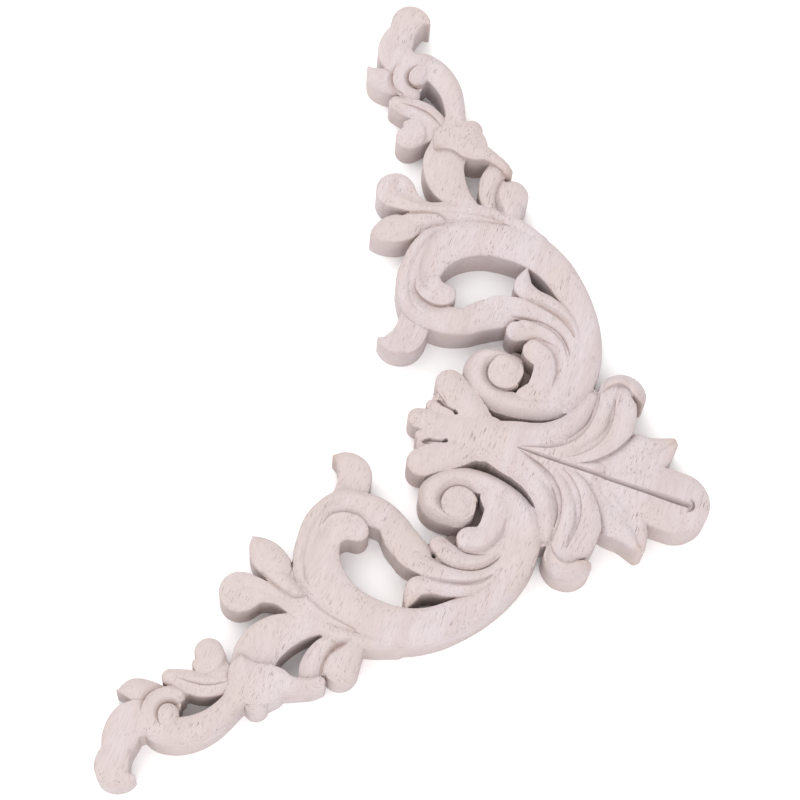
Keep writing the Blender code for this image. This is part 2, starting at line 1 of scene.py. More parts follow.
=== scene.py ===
# %% [markdown]
# # A carved wooden corner onlay
#
# The object is a flat-backed carving of raw pale hardwood, made to be glued into the corner of
# a door or a panel. Two arms of scrolls and leaves meet at a leaf on the diagonal. It is one
# piece of wood, so it is one mesh here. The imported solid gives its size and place, and this
# script makes the fine carving that stands for it.

import math
from collections import Counter

import bmesh
import bpy
import numpy as np
from mathutils import Matrix, Vector
from mathutils.bvhtree import BVHTree


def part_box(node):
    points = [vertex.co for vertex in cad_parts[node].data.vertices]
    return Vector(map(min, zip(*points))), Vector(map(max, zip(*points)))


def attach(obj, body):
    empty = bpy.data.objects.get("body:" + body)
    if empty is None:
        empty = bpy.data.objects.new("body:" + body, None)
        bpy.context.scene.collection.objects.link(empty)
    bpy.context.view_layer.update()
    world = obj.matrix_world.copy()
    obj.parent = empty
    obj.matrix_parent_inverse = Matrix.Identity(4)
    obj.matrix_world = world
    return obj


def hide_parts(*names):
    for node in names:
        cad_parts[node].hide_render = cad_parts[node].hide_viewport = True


MM_PER_M = 1000

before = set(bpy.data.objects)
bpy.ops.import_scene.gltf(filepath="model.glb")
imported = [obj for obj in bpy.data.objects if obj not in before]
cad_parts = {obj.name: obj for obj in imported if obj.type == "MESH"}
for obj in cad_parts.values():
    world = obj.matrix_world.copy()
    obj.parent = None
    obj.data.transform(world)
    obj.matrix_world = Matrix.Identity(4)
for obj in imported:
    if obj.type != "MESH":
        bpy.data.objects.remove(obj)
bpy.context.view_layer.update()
solid_low, solid_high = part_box("corner_onlay")
solid_size = [MM_PER_M * (high - low) for low, high in zip(solid_low, solid_high)]
print("nodes:", len(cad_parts), "solid, mm:", [round(side, 1) for side in solid_size])

# %% [markdown]
# Carvers draw such a piece on its line of symmetry, so the strokes below are in a drawing
# frame, in millimetres: x along the diagonal towards the leaf's tip, y across it, and z up
# from the flat back. Only the half with y above zero is described. The finished piece is
# turned by 45 degrees, so that its arms lie along X and Y, and it is centred like the solid.

# %% Drawing frame
MM = 0.001
TURN = math.radians(45)
print("one unit of the drawing is", MM, "m, turned by", round(math.degrees(TURN)), "degrees")

# %% [markdown]
# A raised form of the carving, such as a leaf or a stem, is called a frond here. It has a
# smooth spine with a half width along it, and a cross section given by the heights of its left
# side, its crest and its right side. The same stroke turned upside down is a cut of the gouge.
# Two powers give the section its shape: the first flattens the crest, and the second eases the
# foot. So a dome, a flat-topped band, a V and a soft swell all come from one formula.

# %% Cross sections
DOME = (2.0, 1.0)
BROAD = (3.0, 1.0)
VEE = (1.0, 1.0)
SOFT = (2.0, 2.0)
print("cross sections:", len({DOME, BROAD, VEE, SOFT}))

# %% [markdown]
# A spine could be a Bezier curve object with handles set by hand. A Catmull-Rom curve needs no
# handles, because it runs through its knots, and the centripetal kind makes no loops where the
# knots lie close together. A few knots give the same easy curves as a cut of the gouge.

# %% A smooth line through knots
SPINE_STEP = 0.35  # mm between the points of a line
LEAST_HALF_WIDTH = 0.15
TINY = 1e-6  # keeps a division by zero away


def curve_stretch(before, start, end, after):
    """The part of a centripetal Catmull-Rom curve between its two middle knots."""
    times = [0.0]
    for one, other in ((before, start), (start, end), (end, after)):
        gap = max(math.dist(one[:2], other[:2]), TINY)
        times.append(times[-1] + math.sqrt(gap))
    t0, t1, t2, t3 = times
    count = max(2, int(math.dist(start[:2], end[:2]) / SPINE_STEP))
    t = np.linspace(t1, t2, count, endpoint=False)[:, None]
    a1 = ((t1 - t) * before + (t - t0) * start) / (t1 - t0)
    a2 = ((t2 - t) * start + (t - t1) * end) / (t2 - t1)
    a3 = ((t3 - t) * end + (t - t2) * after) / (t3 - t2)
    b1 = ((t2 - t) * a1 + (t - t0) * a2) / (t2 - t0)
    b2 = ((t3 - t) * a2 + (t - t1) * a3) / (t3 - t1)
    return ((t2 - t) * b1 + (t - t1) * b2) / (t2 - t1)


def smooth_line(spine):
    """A curve through the knots (x, y, half width, lift); the lift is zero where not given."""
    knots = np.array([tuple(knot) + (0.0,) * (4 - len(knot)) for knot in spine], dtype=float)
    padded = np.vstack([2 * knots[0] - knots[1], knots, 2 * knots[-1] - knots[-2]])
    stretches = []
    for before, start, end, after in zip(padded, padded[1:], padded[2:], padded[3:]):
        stretches.append(curve_stretch(before, start, end, after))
    line = np.vstack(stretches + [knots[-1:]])
    line[:, 2] = np.maximum(line[:, 2], LEAST_HALF_WIDTH)
    return line


print("points on a line of 10 mm:", len(smooth_line([(0, 0, 1), (10, 0, 1)])))

# %% [markdown]
# A carver's cuts are of two kinds. A gouge sinks a groove with two alike sides. A stop cut is
# a steep cut along a line with the wood pared away on one side of it only, which makes one
# leaf seem to lie on top of another.

# %% The stroke and its two cuts
def stroke(name, heights, section, spine, rule="join", crest=0.0):
    """Heights are of the left side, the crest and the right side, looking along the spine.
    The crest stands at a place across, from -1 at the right side to 1 at the left one."""
    return {"name": name, "heights": heights, "section": section, "rule": rule,
            "crest": crest, "line": smooth_line(spine)}


def gouge(name, depth, section, spine):
    """A groove cut along a line, deepest where it is widest."""
    return stroke(name, (0.0, depth, 0.0), section, spine, rule="carve")


def step_cut(name, depth, spine, side):
    """A stop cut along a line, with the wood pared away on one side of it only."""
    return stroke(name, (0.0, depth, 0.0), VEE, spine, rule="carve " + side)


print("across a groove, mm:", gouge("sample", 1.0, VEE, [(0, 0, 1), (10, 0, 1)])["heights"])

# %% [markdown]
# Each knot below is x, y and the half width, with a fourth number where the frond is lifted or
# sunk there. The knots were laid along the leaves of the real piece, and the heights were judged
# from its walls and shading. The large scroll comes first: a broad band that turns in to a
# rolled ring and its round eye, with three leaf fingers inside it.

# %% Fronds of the scroll
def scroll_fronds():
    """The large C-scroll of an arm, its volute, leaf fingers and horn."""
    return [
        stroke("band", (10.9, 12.3, 11.2), BROAD, [
            (-28, 41.8, 5.2, -1.0), (-33, 38.7, 5.1, -0.6), (-38, 34.6, 4.4, -0.3),
            (-44.5, 33.4, 5.0), (-51, 35.4, 5.4), (-55.4, 41, 6.3), (-55.7, 48, 6.5),
            (-53.2, 55, 6.6), (-48.8, 59.9, 6.6), (-42, 63.4, 6.2), (-35, 64.8, 6.0),
            (-25, 64.7, 6.0), (-16.9, 61.4, 5.5), (-10.4, 56.2, 5.1), (-4.3, 49.6, 4.5),
            (-0.3, 43.1, 4.2), (2.1, 36, 4.2), (2.8, 30, 4.1), (2.1, 24.5, 3.8),
            (-0.3, 19.6, 3.5)]),
        stroke("ring", (9.4, 12.7, 10.9), DOME, [
            (2.8, 30, 4.1, -1.0), (2.1, 24.5, 3.8, -0.4), (-0.3, 19.6, 3.5), (-4.5, 16.4, 3.5),
            (-10, 14.4, 3.5), (-16, 13.6, 3.6), (-22, 14.2, 3.7), (-26.8, 16.8, 3.8),
            (-29.4, 21, 3.7), (-28.5, 25.0, 3.3), (-25.8, 26.6, 3.1), (-22.4, 26.2, 3.6),
            (-19.4, 24.6, 4.6, 0.1), (-19.8, 23.2, 4.9, 0.1)], crest=0.1),
        stroke("run of the scroll into the ring", (11.4, 12.4, 11.4), DOME, [
            (-1.5, 36, 2.6, -0.4), (-2.2, 30, 3.6), (-2.4, 24, 4.0), (-4.4, 19.4, 3.6),
            (-9, 17, 3.0, -0.6)]),
        stroke("eye", (11.5, 12.4, 11.5), DOME, [
            (-20.4, 22.6, 5.3), (-20.3, 22.5, 5.3)]),
        stroke("floor beside the eye", (2.5, 2.5, 2.5), DOME, [
            (-19, 31.8, 2.2), (-15.5, 28.6, 3.2), (-13.5, 24, 3.2), (-16, 18, 3.0)]),
        stroke("web between the fingers", (10.6, 10.6, 10.6), DOME, [
            (-18, 42, 3.6), (-10, 41, 4.6), (-4, 36, 4.0), (-2, 28, 3.6), (-3, 21, 3.0)]),
        stroke("roll along the outer edge", (10.8, 12.8, 11.3), DOME, [
            (-52, 63.6, 1.2, -0.9), (-56.5, 60, 1.9, -0.3), (-59.0, 54.5, 2.3), (-59.8, 48, 2.4),
            (-59.4, 42, 2.4), (-57.6, 36.8, 2.4), (-54.3, 32.9, 2.5, -0.2),
            (-49.5, 31.2, 2.5, -0.5), (-44, 31.3, 2.3, -1.0), (-38.5, 32.7, 1.6, -1.6)]),
        stroke("hook in the hole", (11.6, 12.5, 11.6), DOME, [
            (-53.2, 52, 2.6, -1.2), (-53.2, 47, 3.2, -0.5), (-51.2, 42.3, 3.9),
            (-48.3, 40.7, 4.0), (-46.3, 40.9, 3.6)]),
        stroke("horn", (9.9, 10.6, 9.9), BROAD, [
            (-52.5, 35, 4.5), (-52.0, 28, 5.0), (-52.7, 23.6, 4.9), (-54.6, 21.7, 4.1),
            (-57.5, 20.4, 2.3), (-60.5, 20.5, 0.5)]),
        stroke("first finger", (12.0, 12.9, 11.9), DOME, [
            (-24.8, 58.4, 0.4, -1.4), (-24.7, 55, 1.9, -0.7), (-23.9, 51.5, 3.0),
            (-20, 50.0, 2.4), (-15, 49.2, 2.3), (-10, 47.5, 1.9), (-6, 44.8, 1.6, -0.1),
            (-3.3, 41.3, 1.3, -0.4), (-2.0, 36.5, 1.0, -1.2)]),
        stroke("second finger", (11.9, 12.1, 10.6), DOME, [
            (-29, 41.8, 4.8, -0.4), (-25, 44.0, 3.6), (-20, 44.6, 3.3), (-15, 44.2, 3.0),
            (-10, 42.9, 2.6), (-6, 40.3, 2.2), (-3.9, 36.6, 1.8, -0.3), (-3.0, 32, 1.3, -1.0)],
               crest=0.5),
        stroke("third finger", (12.1, 12.4, 10.5), DOME, [
            (-21.6, 36.8, 2.9), (-18, 38.4, 3.2), (-13.5, 38.8, 2.9), (-9.5, 37.5, 2.6),
            (-6.5, 34.6, 2.2), (-4.6, 30.5, 1.8, -0.3), (-4.0, 25, 1.4, -1.0)], crest=0.5),
        stroke("inner turn", (12.1, 12.9, 11.6), DOME, [
            (-13.6, 32.4, 3.9), (-9.9, 31.2, 4.3), (-8.5, 28, 4.2), (-8.2, 24, 4.2),
            (-8.8, 20, 4.1, -0.3), (-11.6, 17.4, 3.4, -0.6)], crest=0.2),
    ]


fronds = scroll_fronds()
print("fronds of the scroll:", len(fronds))

# %% [markdown]
# At the shoulder, thin leaves and stems part from the scroll and run out along the arm. A low
# web lies behind them where the saw left the wood between them standing.

# %% Fronds of the shoulder
def shoulder_fronds():
    """Leaves and stems that leave the scroll at the shoulder of an arm."""
    return [
        stroke("club leaf", (11.3, 11.9, 10.7), DOME, [
            (-22, 69.0, 1.2, -0.4), (-30, 71.8, 1.8), (-38, 73.0, 2.1), (-46, 72.4, 2.2),
            (-54, 70.3, 2.2), (-61, 68.0, 2.3), (-66.8, 68.1, 3.6), (-72.0, 70.2, 6.1)]),
        stroke("rail under the club leaf", (11.6, 12.2, 10.8), DOME, [
            (-64, 61.6, 3.2, -0.4), (-57, 65.2, 2.6), (-50, 68.0, 1.8), (-43, 69.6, 1.1),
            (-37, 70.3, 0.5)]),
        stroke("bud leaf", (10.7, 12.3, 11.0), DOME, [
            (-74.4, 53.0, 0.4, -0.8), (-71.6, 55.2, 3.1, -0.4), (-68.2, 57.4, 4.8),
            (-65.4, 59.0, 4.7)]),
        stroke("web behind the rails", (10.4, 10.4, 10.4), DOME, [
            (-60, 61, 3.0), (-52, 66.5, 3.0), (-44, 70, 3.0), (-34, 71.5, 3.0), (-24, 69, 2.5)]),
        stroke("stem", (10.5, 11.3, 10.5), BROAD, [
            (-46, 72.2, 2.0), (-52.0, 74.4, 3.9), (-58.0, 78.9, 6.0), (-61.1, 85, 6.6),
            (-61.0, 90, 6.4)]),
        stroke("inner strand", (10.3, 11.5, 10.3), DOME, [
            (-41.8, 73.6, 1.5), (-44.2, 78.6, 2.8), (-45.0, 84, 3.4), (-44.3, 88, 3.3)]),
        stroke("outer strand", (10.5, 11.7, 10.2), DOME, [
            (-34.9, 73.5, 2.6), (-35.9, 77, 3.8), (-36.9, 81.2, 5.1), (-37.0, 81.4, 5.1)]),
        stroke("web between the strands", (10.2, 10.2, 10.2), DOME, [
            (-38.6, 74, 2.8), (-40.4, 79, 2.2), (-41.2, 84, 1.6)]),
    ]


fronds += shoulder_fronds()
print("fronds, with the shoulder's:", len(fronds))

# %% [markdown]
# The strands meet under a rolled bell, and out of the bell grow small leaves, a curl with a
# button in it, and the leaf at the tip of the arm.

# %% Fronds of the arm's end
def arm_end_fronds():
    """The bell, buds and curled tip at the end of an arm."""
    return [
        stroke("knob", (9.9, 11.9, 9.9), DOME, [(-58.4, 97, 2.4), (-56.6, 99.3, 3.5)]),
        stroke("ball leaf", (9.9, 11.0, 9.9), BROAD, [
            (-67.0, 95.6, 3.4, -0.5), (-70.2, 94.0, 3.6, -0.3), (-73.2, 91.4, 4.2),
            (-74.3, 90.2, 4.2)]),
        stroke("side leaf", (10.3, 11.3, 9.9), DOME, [
            (-82.1, 100.7, 2.5, -0.5), (-78, 100.3, 3.2), (-73.5, 100.1, 3.7), (-69, 98.8, 3.2),
            (-65, 96.5, 2.6)]),
        stroke("curl", (10.9, 12.2, 10.6), DOME, [
            (-60.9, 94.4, 4.9, 0.8), (-61.6, 97.8, 4.0, 0.5), (-62.6, 101.4, 3.3, 0.1),
            (-64.5, 105.8, 3.4),
            (-67.3, 110.2, 3.8), (-71.2, 113.7, 4.2), (-75.6, 115.8, 4.4), (-79.8, 115.7, 4.7),
            (-82.9, 113.0, 4.0, -0.2), (-83.2, 109, 3.1, -0.4), (-81, 106, 2.8, -0.6),
            (-78.2, 105.2, 2.2, -0.8)], crest=-0.3),
        stroke("button in the curl", (10.8, 12.2, 10.8), DOME, [
            (-76.4, 114.4, 2.0, -0.2), (-78.2, 112.4, 3.0), (-78.6, 111.4, 3.0)]),
        stroke("floor of the curl", (9.8, 9.8, 9.8), DOME, [
            (-80, 111, 3.0), (-78.6, 108.6, 2.4), (-79.5, 104.4, 2.6), (-75.4, 102.2, 1.4)]),
        stroke("web above the ball leaf", (9.9, 10.3, 9.9), BROAD, [
            (-75.9, 94.6, 1.8), (-73, 95.8, 2.4), (-68, 95, 2.8)]),
        stroke("tip leaf", (10.4, 11.2, 10.3), BROAD, [
            (-84.5, 113, 3.5, 0.5), (-88.5, 116.4, 5.1, 0.4), (-89.3, 121.4, 5.3), (-89.0, 126, 4.4),
            (-88.3, 131.2, 4.9), (-85.8, 132.6, 3.2), (-83.4, 132.5, 1.7), (-81.8, 131.6, 0.6)]),
        stroke("join of the tip leaf and the curl", (11.2, 12.0, 11.2), DOME, [
            (-88.4, 119.5, 3.4, -0.6), (-85.2, 116.4, 4.0, -0.1), (-81.2, 115.4, 3.2, 0.1),
            (-77.6, 116.2, 2.4)]),
        stroke("tip hook", (8.6, 10.7, 10.2), DOME, [
            (-81.5, 107.6, 3.6), (-86.5, 107.7, 4.3), (-90.5, 107.4, 3.4), (-93.4, 108.6, 1.6),
            (-95.0, 109.6, 0.4)]),
        stroke("bell", (11.7, 13.3, 12.6), DOME, [
            (-64.9, 89.0, 0.8), (-64.2, 90.6, 2.0), (-62.6, 93.4, 4.2), (-59.0, 95.2, 5.8),
            (-55.2, 93.7, 5.4), (-52.6, 91.9, 3.6), (-50.0, 92.0, 2.7), (-46.3, 91.2, 2.0),
            (-42.8, 89.8, 1.7), (-40.9, 88.4, 1.5)], crest=-0.3),
    ]


fronds += arm_end_fronds()
print("fronds, with the arm end's:", len(fronds))

# %% [markdown]
# On the diagonal a bud with petals stands on a neck, which widens into two shoulders.

# %% Fronds of the bud and the neck
def crown_fronds():
    """The bud on the diagonal and the shoulders of the leaf behind it."""
    return [
        stroke("nose", (10.6, 11.7, 10.6), DOME, [
            (-40.7, 0, 3.2, -0.8), (-37.5, 0, 3.7), (-24, 0, 4.4)]),
        stroke("bump", (10.6, 11.4, 10.6), DOME, [
            (-38.0, 5.1, 1.8, -0.5), (-34, 4.4, 2.4), (-29, 3.5, 2.6)]),
        stroke("side petal", (11.0, 12.2, 11.2), DOME, [
            (-22.5, 5.0, 3.6), (-27, 8, 4.4), (-31.5, 10.8, 4.6), (-35.1, 13.5, 4.5, -0.3)]),
        stroke("neck", (11.0, 12.7, 11.0), BROAD, [
            (-28, 0, 5.6, -0.8), (-20.5, 0, 7.6), (-17.3, 0, 6.4), (-13, 0, 7.8), (-8, 0, 9.2),
            (-2, 0, 10), (6, 0, 8), (14, 0, 6)]),
        stroke("shoulder", (10.9, 12.4, 10.9), DOME, [
            (-16, 3.0, 3.0), (-9, 5.3, 3.6), (-2, 8.1, 3.5), (3.5, 13.2, 3.2),
            (6.0, 18.8, 2.9), (7.2, 23.4, 2.1)]),
        stroke("floor under the scroll", (2.5, 2.5, 2.5), DOME, [
            (-22, 9.0, 2.0), (-12, 10, 3.0), (-3, 12.5, 3.0), (4, 19, 3.0), (6.5, 24, 2.5)]),
        stroke("bridge to the scroll", (10.5, 10.5, 10.5), DOME, [
            (-0.2, 13.2, 1.4, -6.0), (1.6, 16.0, 2.0, -1.5), (3.2, 19.2, 2.3), (4.6, 22.0, 2.3),
            (6.4, 25.0, 1.8)]),
        stroke("floor of the petals", (10.0, 10.0, 10.0), DOME, [
            (-36, 7.5, 2.6), (-32, 6.5, 2.6), (-28, 5.5, 2.6)]),
        stroke("shelf beside the petal", (7.4, 7.4, 7.4), DOME, [
            (-33, 16, 1.6), (-29, 13.0, 1.6)]),
    ]


fronds += crown_fronds()
print("fronds, with the bud's:", len(fronds))

# %% [markdown]
# The centre leaf ends in a round tip, with a pointed lobe on each side and two curls that roll
# over at their ends. The rim of a curl is a frond of its own, with its crest pushed outwards.

# %% Fronds of the centre leaf
def leaf_fronds():
    """The centre leaf: two curls, a pointed lobe, a round tip and its midrib."""
    return [
        stroke("first curl", (11.9, 12.9, 11.0), DOME, [
            (-5, 1.2, 1.2, -0.3), (4, 4.2, 2.6), (8.9, 9.2, 3.0), (11.6, 15, 3.1),
            (12.0, 22, 3.2, -0.1), (12.8, 28, 4.4, -0.8)]),
        stroke("second curl", (11.2, 13.2, 12.4), DOME, [
            (3, 1.4, 1.2, -0.6), (10, 4.8, 3.0), (15.6, 10.8, 3.8), (18.0, 17, 4.0),
            (17.2, 22, 4.4, -0.2), (15.0, 28.0, 4.2, -1.0)], crest=-0.3),
        stroke("rolled rim", (10.2, 13.7, 13.3), DOME, [
            (9.0, 26.3, 0.6, -1.8), (9.9, 29.6, 1.6, -0.6), (13.6, 32.4, 2.1), (17.8, 32.0, 2.4),
            (20.3, 29.8, 2.3), (20.9, 28.6, 2.0, -0.3)], crest=-0.8),
        stroke("upper side of the pointed lobe", (11.0, 12.4, 10.8), DOME, [
            (9, 1.6, 1.8, -0.5), (16, 5.6, 3.6), (23, 11.0, 5.6), (29.5, 14.4, 3.3),
            (34.3, 18.0, 1.5)], crest=0.2),
        stroke("lower side of the pointed lobe", (10.8, 11.9, 11.0), DOME, [
            (14, 1.4, 2.2, -0.4), (22, 4.6, 3.8), (29, 8.8, 3.9), (33, 13.2, 2.8),
            (34.8, 17.4, 1.5)]),
        stroke("tip blade", (10.8, 12.0, 10.8), BROAD, [
            (20, 0, 6.6), (28, 0, 8.8), (34, 0, 9.7), (41.2, 0, 9.8)]),
        stroke("web of the leaf", (10.9, 10.9, 10.9), DOME, [
            (0, 6, 4.0), (9, 12, 5.0), (11, 20, 4.0), (12, 27, 3.5)]),
    ]


fronds += leaf_fronds()
print("fronds, all:", len(fronds))

# %% [markdown]
# The cuts give the carving its crisp look: grooves between the fingers, flutes along the
# leaves, and stop cuts round the eye and round the button in the curl.

# %% Cuts of the arm
def arm_cuts():
    """Grooves, stop cuts and pits of the arm."""
    return [
        stroke("crescent beside the eye", (2.5, 2.5, 2.5), DOME, [
            (-16.2, 28.0, 0.3), (-15.0, 26.8, 0.7), (-14.2, 24.8, 0.9), (-14.4, 22.4, 0.8),
            (-15.4, 20.4, 0.3)], rule="cut"),
        step_cut("stop round the eye", 1.3, [
            (-21.6, 27.9, 0.2), (-23.8, 26.8, 0.9), (-25.4, 24.6, 1.6), (-25.7, 21.6, 2.0),
            (-24.4, 18.8, 2.2), (-21.6, 17.3, 2.1), (-18.2, 17.7, 1.7), (-15.8, 19.6, 0.8)],
                 "right"),
        gouge("flute of the hook", 1.0, DOME, [
            (-55.0, 61.0, 0.8), (-54.8, 57, 2.0), (-54.3, 52, 2.8), (-53.6, 47, 3.0),
            (-52, 43.0, 2.6), (-49.5, 41.0, 1.4)]),
        step_cut("stop under the hook", 1.5, [
            (-56.2, 42.6, 0.3), (-55.2, 39.6, 1.8), (-52.7, 37.6, 2.8), (-49.6, 36.7, 3.2),
            (-46.4, 36.9, 3.0), (-44.0, 38.3, 2.2), (-42.7, 40.4, 1.4)], "right"),
        gouge("valley before the fingers", 0.5, SOFT, [
            (-37.2, 41.5, 2.4), (-36.2, 37, 2.8), (-35.2, 31, 2.4)]),
        gouge("groove under the first finger", 1.0, VEE, [
            (-22, 48.0, 0.3), (-18, 47.6, 0.8), (-14, 46.8, 1.0), (-10, 45.6, 1.0),
            (-6, 43.3, 0.9), (-4.2, 41.0, 0.4)]),
        gouge("groove under the second finger", 1.1, VEE, [
            (-24, 41.3, 0.3), (-20, 41.6, 0.8), (-15, 41.5, 1.0), (-10, 40.3, 1.0),
            (-6.2, 37.7, 0.9), (-4.4, 34.2, 0.4)]),
        gouge("groove under the third finger", 1.3, VEE, [
            (-16, 35.9, 0.3), (-12.4, 35.7, 1.0), (-8.6, 34.0, 1.2), (-6.2, 30.6, 1.1),
            (-5.2, 26.6, 0.9), (-5.4, 23.0, 0.4)]),
        gouge("flute of the club leaf", 0.8, DOME, [
            (-72.6, 73.4, 1.0), (-70.8, 71.4, 2.4), (-67.2, 69.6, 2.0), (-62, 69.2, 1.5),
            (-56, 70.4, 1.1), (-50, 72.2, 0.8), (-44, 73.3, 0.4)]),
        gouge("crease of the rail", 1.0, VEE, [
            (-68, 62.8, 0.6), (-64, 64.6, 0.7), (-60, 66.0, 0.7), (-56.6, 66.6, 0.8),
            (-54.6, 65.9, 0.8), (-53.4, 64.9, 0.3)]),
        gouge("groove between the strands", 1.3, VEE, [
            (-36.9, 73.2, 0.5), (-39.3, 75.6, 1.2), (-41.2, 78.6, 0.9), (-42.0, 82, 0.7),
            (-41.6, 86, 0.6)]),
        gouge("groove beside the ball leaf", 0.7, SOFT, [
            (-72.8, 96.8, 0.4), (-70.4, 95.2, 1.1), (-68.9, 92.8, 1.4), (-68.8, 90.0, 1.2)]),
        step_cut("vein of the side leaf", 0.8, [
            (-80.6, 100.6, 0.3), (-76.4, 100.7, 1.2), (-72.0, 100.2, 1.6), (-68.4, 98.6, 1.4),
            (-65.6, 96.4, 0.5)], "right"),
        step_cut("stop round the button", 1.4, [
            (-79.6, 115.2, 0.3), (-81.0, 113.6, 1.0), (-81.7, 111.2, 1.4), (-80.8, 109.0, 1.6),
            (-78.8, 108.3, 1.6), (-76.4, 109.2, 0.6)], "right"),
        step_cut("stop round the curl", 1.3, [
            (-86.4, 113.2, 0.3), (-86.7, 110.8, 1.2), (-86.1, 107.8, 1.8), (-84.2, 105.4, 1.8),
            (-81.4, 103.9, 1.2)], "right"),
    ]


cuts = arm_cuts()
print("cuts of the arm:", len(cuts))

# %% [markdown]
# The veins of the centre leaf fan out from its root. The midrib is a narrow V that ends in a
# crescent, and the bud is split by a short slit with a small pit at each end.

# %% Cuts of the bud and the centre leaf
def centre_cuts():
    """Grooves, stop cuts and pits of the bud and the centre leaf."""
    return [
        gouge("slit of the bud", 1.8, VEE, [
            (-36.9, 7.0, 0.3), (-35.4, 6.2, 0.5), (-33.6, 5.8, 0.45), (-31.8, 5.4, 0.4),
            (-30.6, 5.0, 0.4)]),
        stroke("inner pit of the slit", (8.4, 8.4, 8.4), DOME, [
            (-31.0, 5.2, 0.5), (-30.6, 4.9, 0.6)], rule="cut"),
        stroke("outer pit of the slit", (8.8, 8.8, 8.8), DOME, [
            (-36.2, 6.8, 0.6), (-35.3, 6.1, 0.5)], rule="cut"),
        gouge("saddle of the neck", 0.45, SOFT, [
            (-19.6, 9.0, 2.2), (-20.8, 4.5, 3.2), (-21.4, 0, 3.4), (-20.8, -4.5, 3.2)]),
        step_cut("first vein", 1.3, [
            (-8.4, 0.6, 0.3), (-4, 1.9, 1.2), (0, 3.2, 1.7), (4, 5.7, 1.9), (7, 9, 1.9),
            (8.8, 13, 1.6), (9.6, 17.5, 1.3), (9.6, 22, 1.3), (9.0, 26, 0.8)], "left"),
        step_cut("second vein", 0.9, [
            (5.2, 1.6, 0.3), (9.6, 4.4, 1.4), (13.2, 8.8, 1.8), (15.0, 13.6, 1.8),
            (15.2, 19, 1.6), (14.2, 25, 0.8)], "left"),
        step_cut("third vein", 1.5, [
            (9.0, 1.2, 0.3), (13.6, 3.9, 1.5), (17.6, 7.8, 2.2), (20.4, 12.0, 2.4),
            (22.4, 16.6, 2.0)], "right"),
        gouge("fourth vein", 0.6, SOFT, [
            (20, 2.0, 0.8), (25, 5.4, 1.8), (30, 9.4, 2.2), (33.4, 14, 1.8), (34.6, 17, 1.2)]),
        gouge("midrib", 2.2, VEE, [
            (-9, 0, 0.3), (-3, 0, 0.65), (8, 0, 0.75), (30, 0, 0.85), (42, 0, 1.1),
            (44.6, 0, 0.9)]),
        step_cut("end of the midrib", 2.0, [
            (45.0, 2.2, 0.5), (46.2, 1.2, 1.8), (46.6, 0.0, 2.4), (46.2, -1.2, 1.8)], "right"),
    ]


cuts += centre_cuts()
print("cuts, all:", len(cuts))

# %% [markdown]
# The large openings lie where no frond is. One thin gap is sawn in afterwards.

# %% The sawn gap
def holes():
    """Small gaps sawn into the outline."""
    return [
        stroke("gap under the rolled rim", (0.0, 0.0, 0.0), DOME, [
            (23.6, 25.8, 1.2), (21.2, 26.4, 0.7), (18.8, 27.8, 0.3)], rule="hole"),
    ]


gaps = holes()
print("sawn gaps:", len(gaps))

# %% [markdown]
# The height at a point comes from all the strokes that reach it. The nearest point of a spine
# gives how far across the stroke the point lies, from 0 at the spine to 1 at its left side and
# -1 at its right side. Fronds join at the greater height, and then the cuts go in. The fronds
# could be solids joined by booleans, but dozens of curved blades that nearly touch leave
# slivers, while a height can be worked out at any point and never fails.

# %% Height of a cross section
def profile(form, across):
    """Height of the cross section at a place across it, from -1 to 1."""
    left, top, right = form["heights"]
    on_left = across > form["crest"]
    span = np.where(on_left, 1 - form["crest"], 1 + form["crest"])
    share = np.clip(np.abs(across - form["crest"]) / span, 0, 1)
    side = np.where(on_left, left, right)
    flatness, ease = form["section"]
    return side + (top - side) * (1 - share ** flatness) ** ease


def section_height(form, place, lean):
    """Height at a place out from the spine.  Round the end of a spine, where lean passes from
    1 (left) to -1 (right), the left half of the section turns into the right half."""
    share = (1 + lean) / 2
    return share * profile(form, place) + (1 - share) * profile(form, -place)


print("height of the band's crest, mm:", round(float(profile(fronds[0], 0.0)), 2))

# %% [markdown]
# A stroke widens and narrows along its spine, so the nearest point is the one whose own half
# width reaches furthest towards the point asked for, and not simply the closest. Only points
# in a box round the stroke are asked, which saves most of the time.

# %% The nearest point of a spine
MARGIN = 1.5  # mm round a stroke that it is looked for in
LEAST_REACH = 0.1
FAR = 1e6  # stands for a place that a stroke never reaches
TRIAL = np.array([[20.0, 0.0]])  # a point in the middle of the centre leaf


def reach_of(form, points):
    """Place out from the spine (0 to 1 at the side), the lean to the left or right, the
    nearest point of the line, and the distance in mm outside the side."""
    line = form["line"]
    slope = np.gradient(line, axis=0)
    slope /= np.linalg.norm(slope[:, :2], axis=1)[:, None]
    place = np.full(len(points), np.inf)
    lean = np.ones(len(points))
    nearest = np.zeros(len(points), dtype=int)
    gap = np.full(len(points), np.inf)
    for index, ((x, y, width, _), (run_x, run_y, taper, _)) in enumerate(zip(line, slope)):
        dx = points[:, 0] - x
        dy = points[:, 1] - y
        along = np.clip(run_x * dx + run_y * dy, -SPINE_STEP / 2, SPINE_STEP / 2)
        dx -= along * run_x
        dy -= along * run_y
        distance = np.hypot(dx, dy)
        reach = np.maximum(width + along * taper, LEAST_REACH)
        share = distance / reach
        nearer = share < place
        place[nearer] = share[nearer]
        side = run_x * dy - run_y * dx
        lean[nearer] = side[nearer] / np.maximum(distance[nearer], TINY)
        nearest[nearer] = index
        gap = np.minimum(gap, distance - reach)
    return np.minimum(place, FAR), np.clip(lean, -1, 1), nearest, gap


def near(form, points):
    """Which points are close enough to a stroke to matter."""
    line = form["line"]
    margin = line[:, 2].max() + MARGIN
    low = line[:, :2].min(axis=0) - margin
    high = line[:, :2].max(axis=0) + margin
    return np.all((points > low) & (points < high), axis=1)


print("fronds near the middle of the leaf:", sum(near(form, TRIAL).any() for form in fronds))

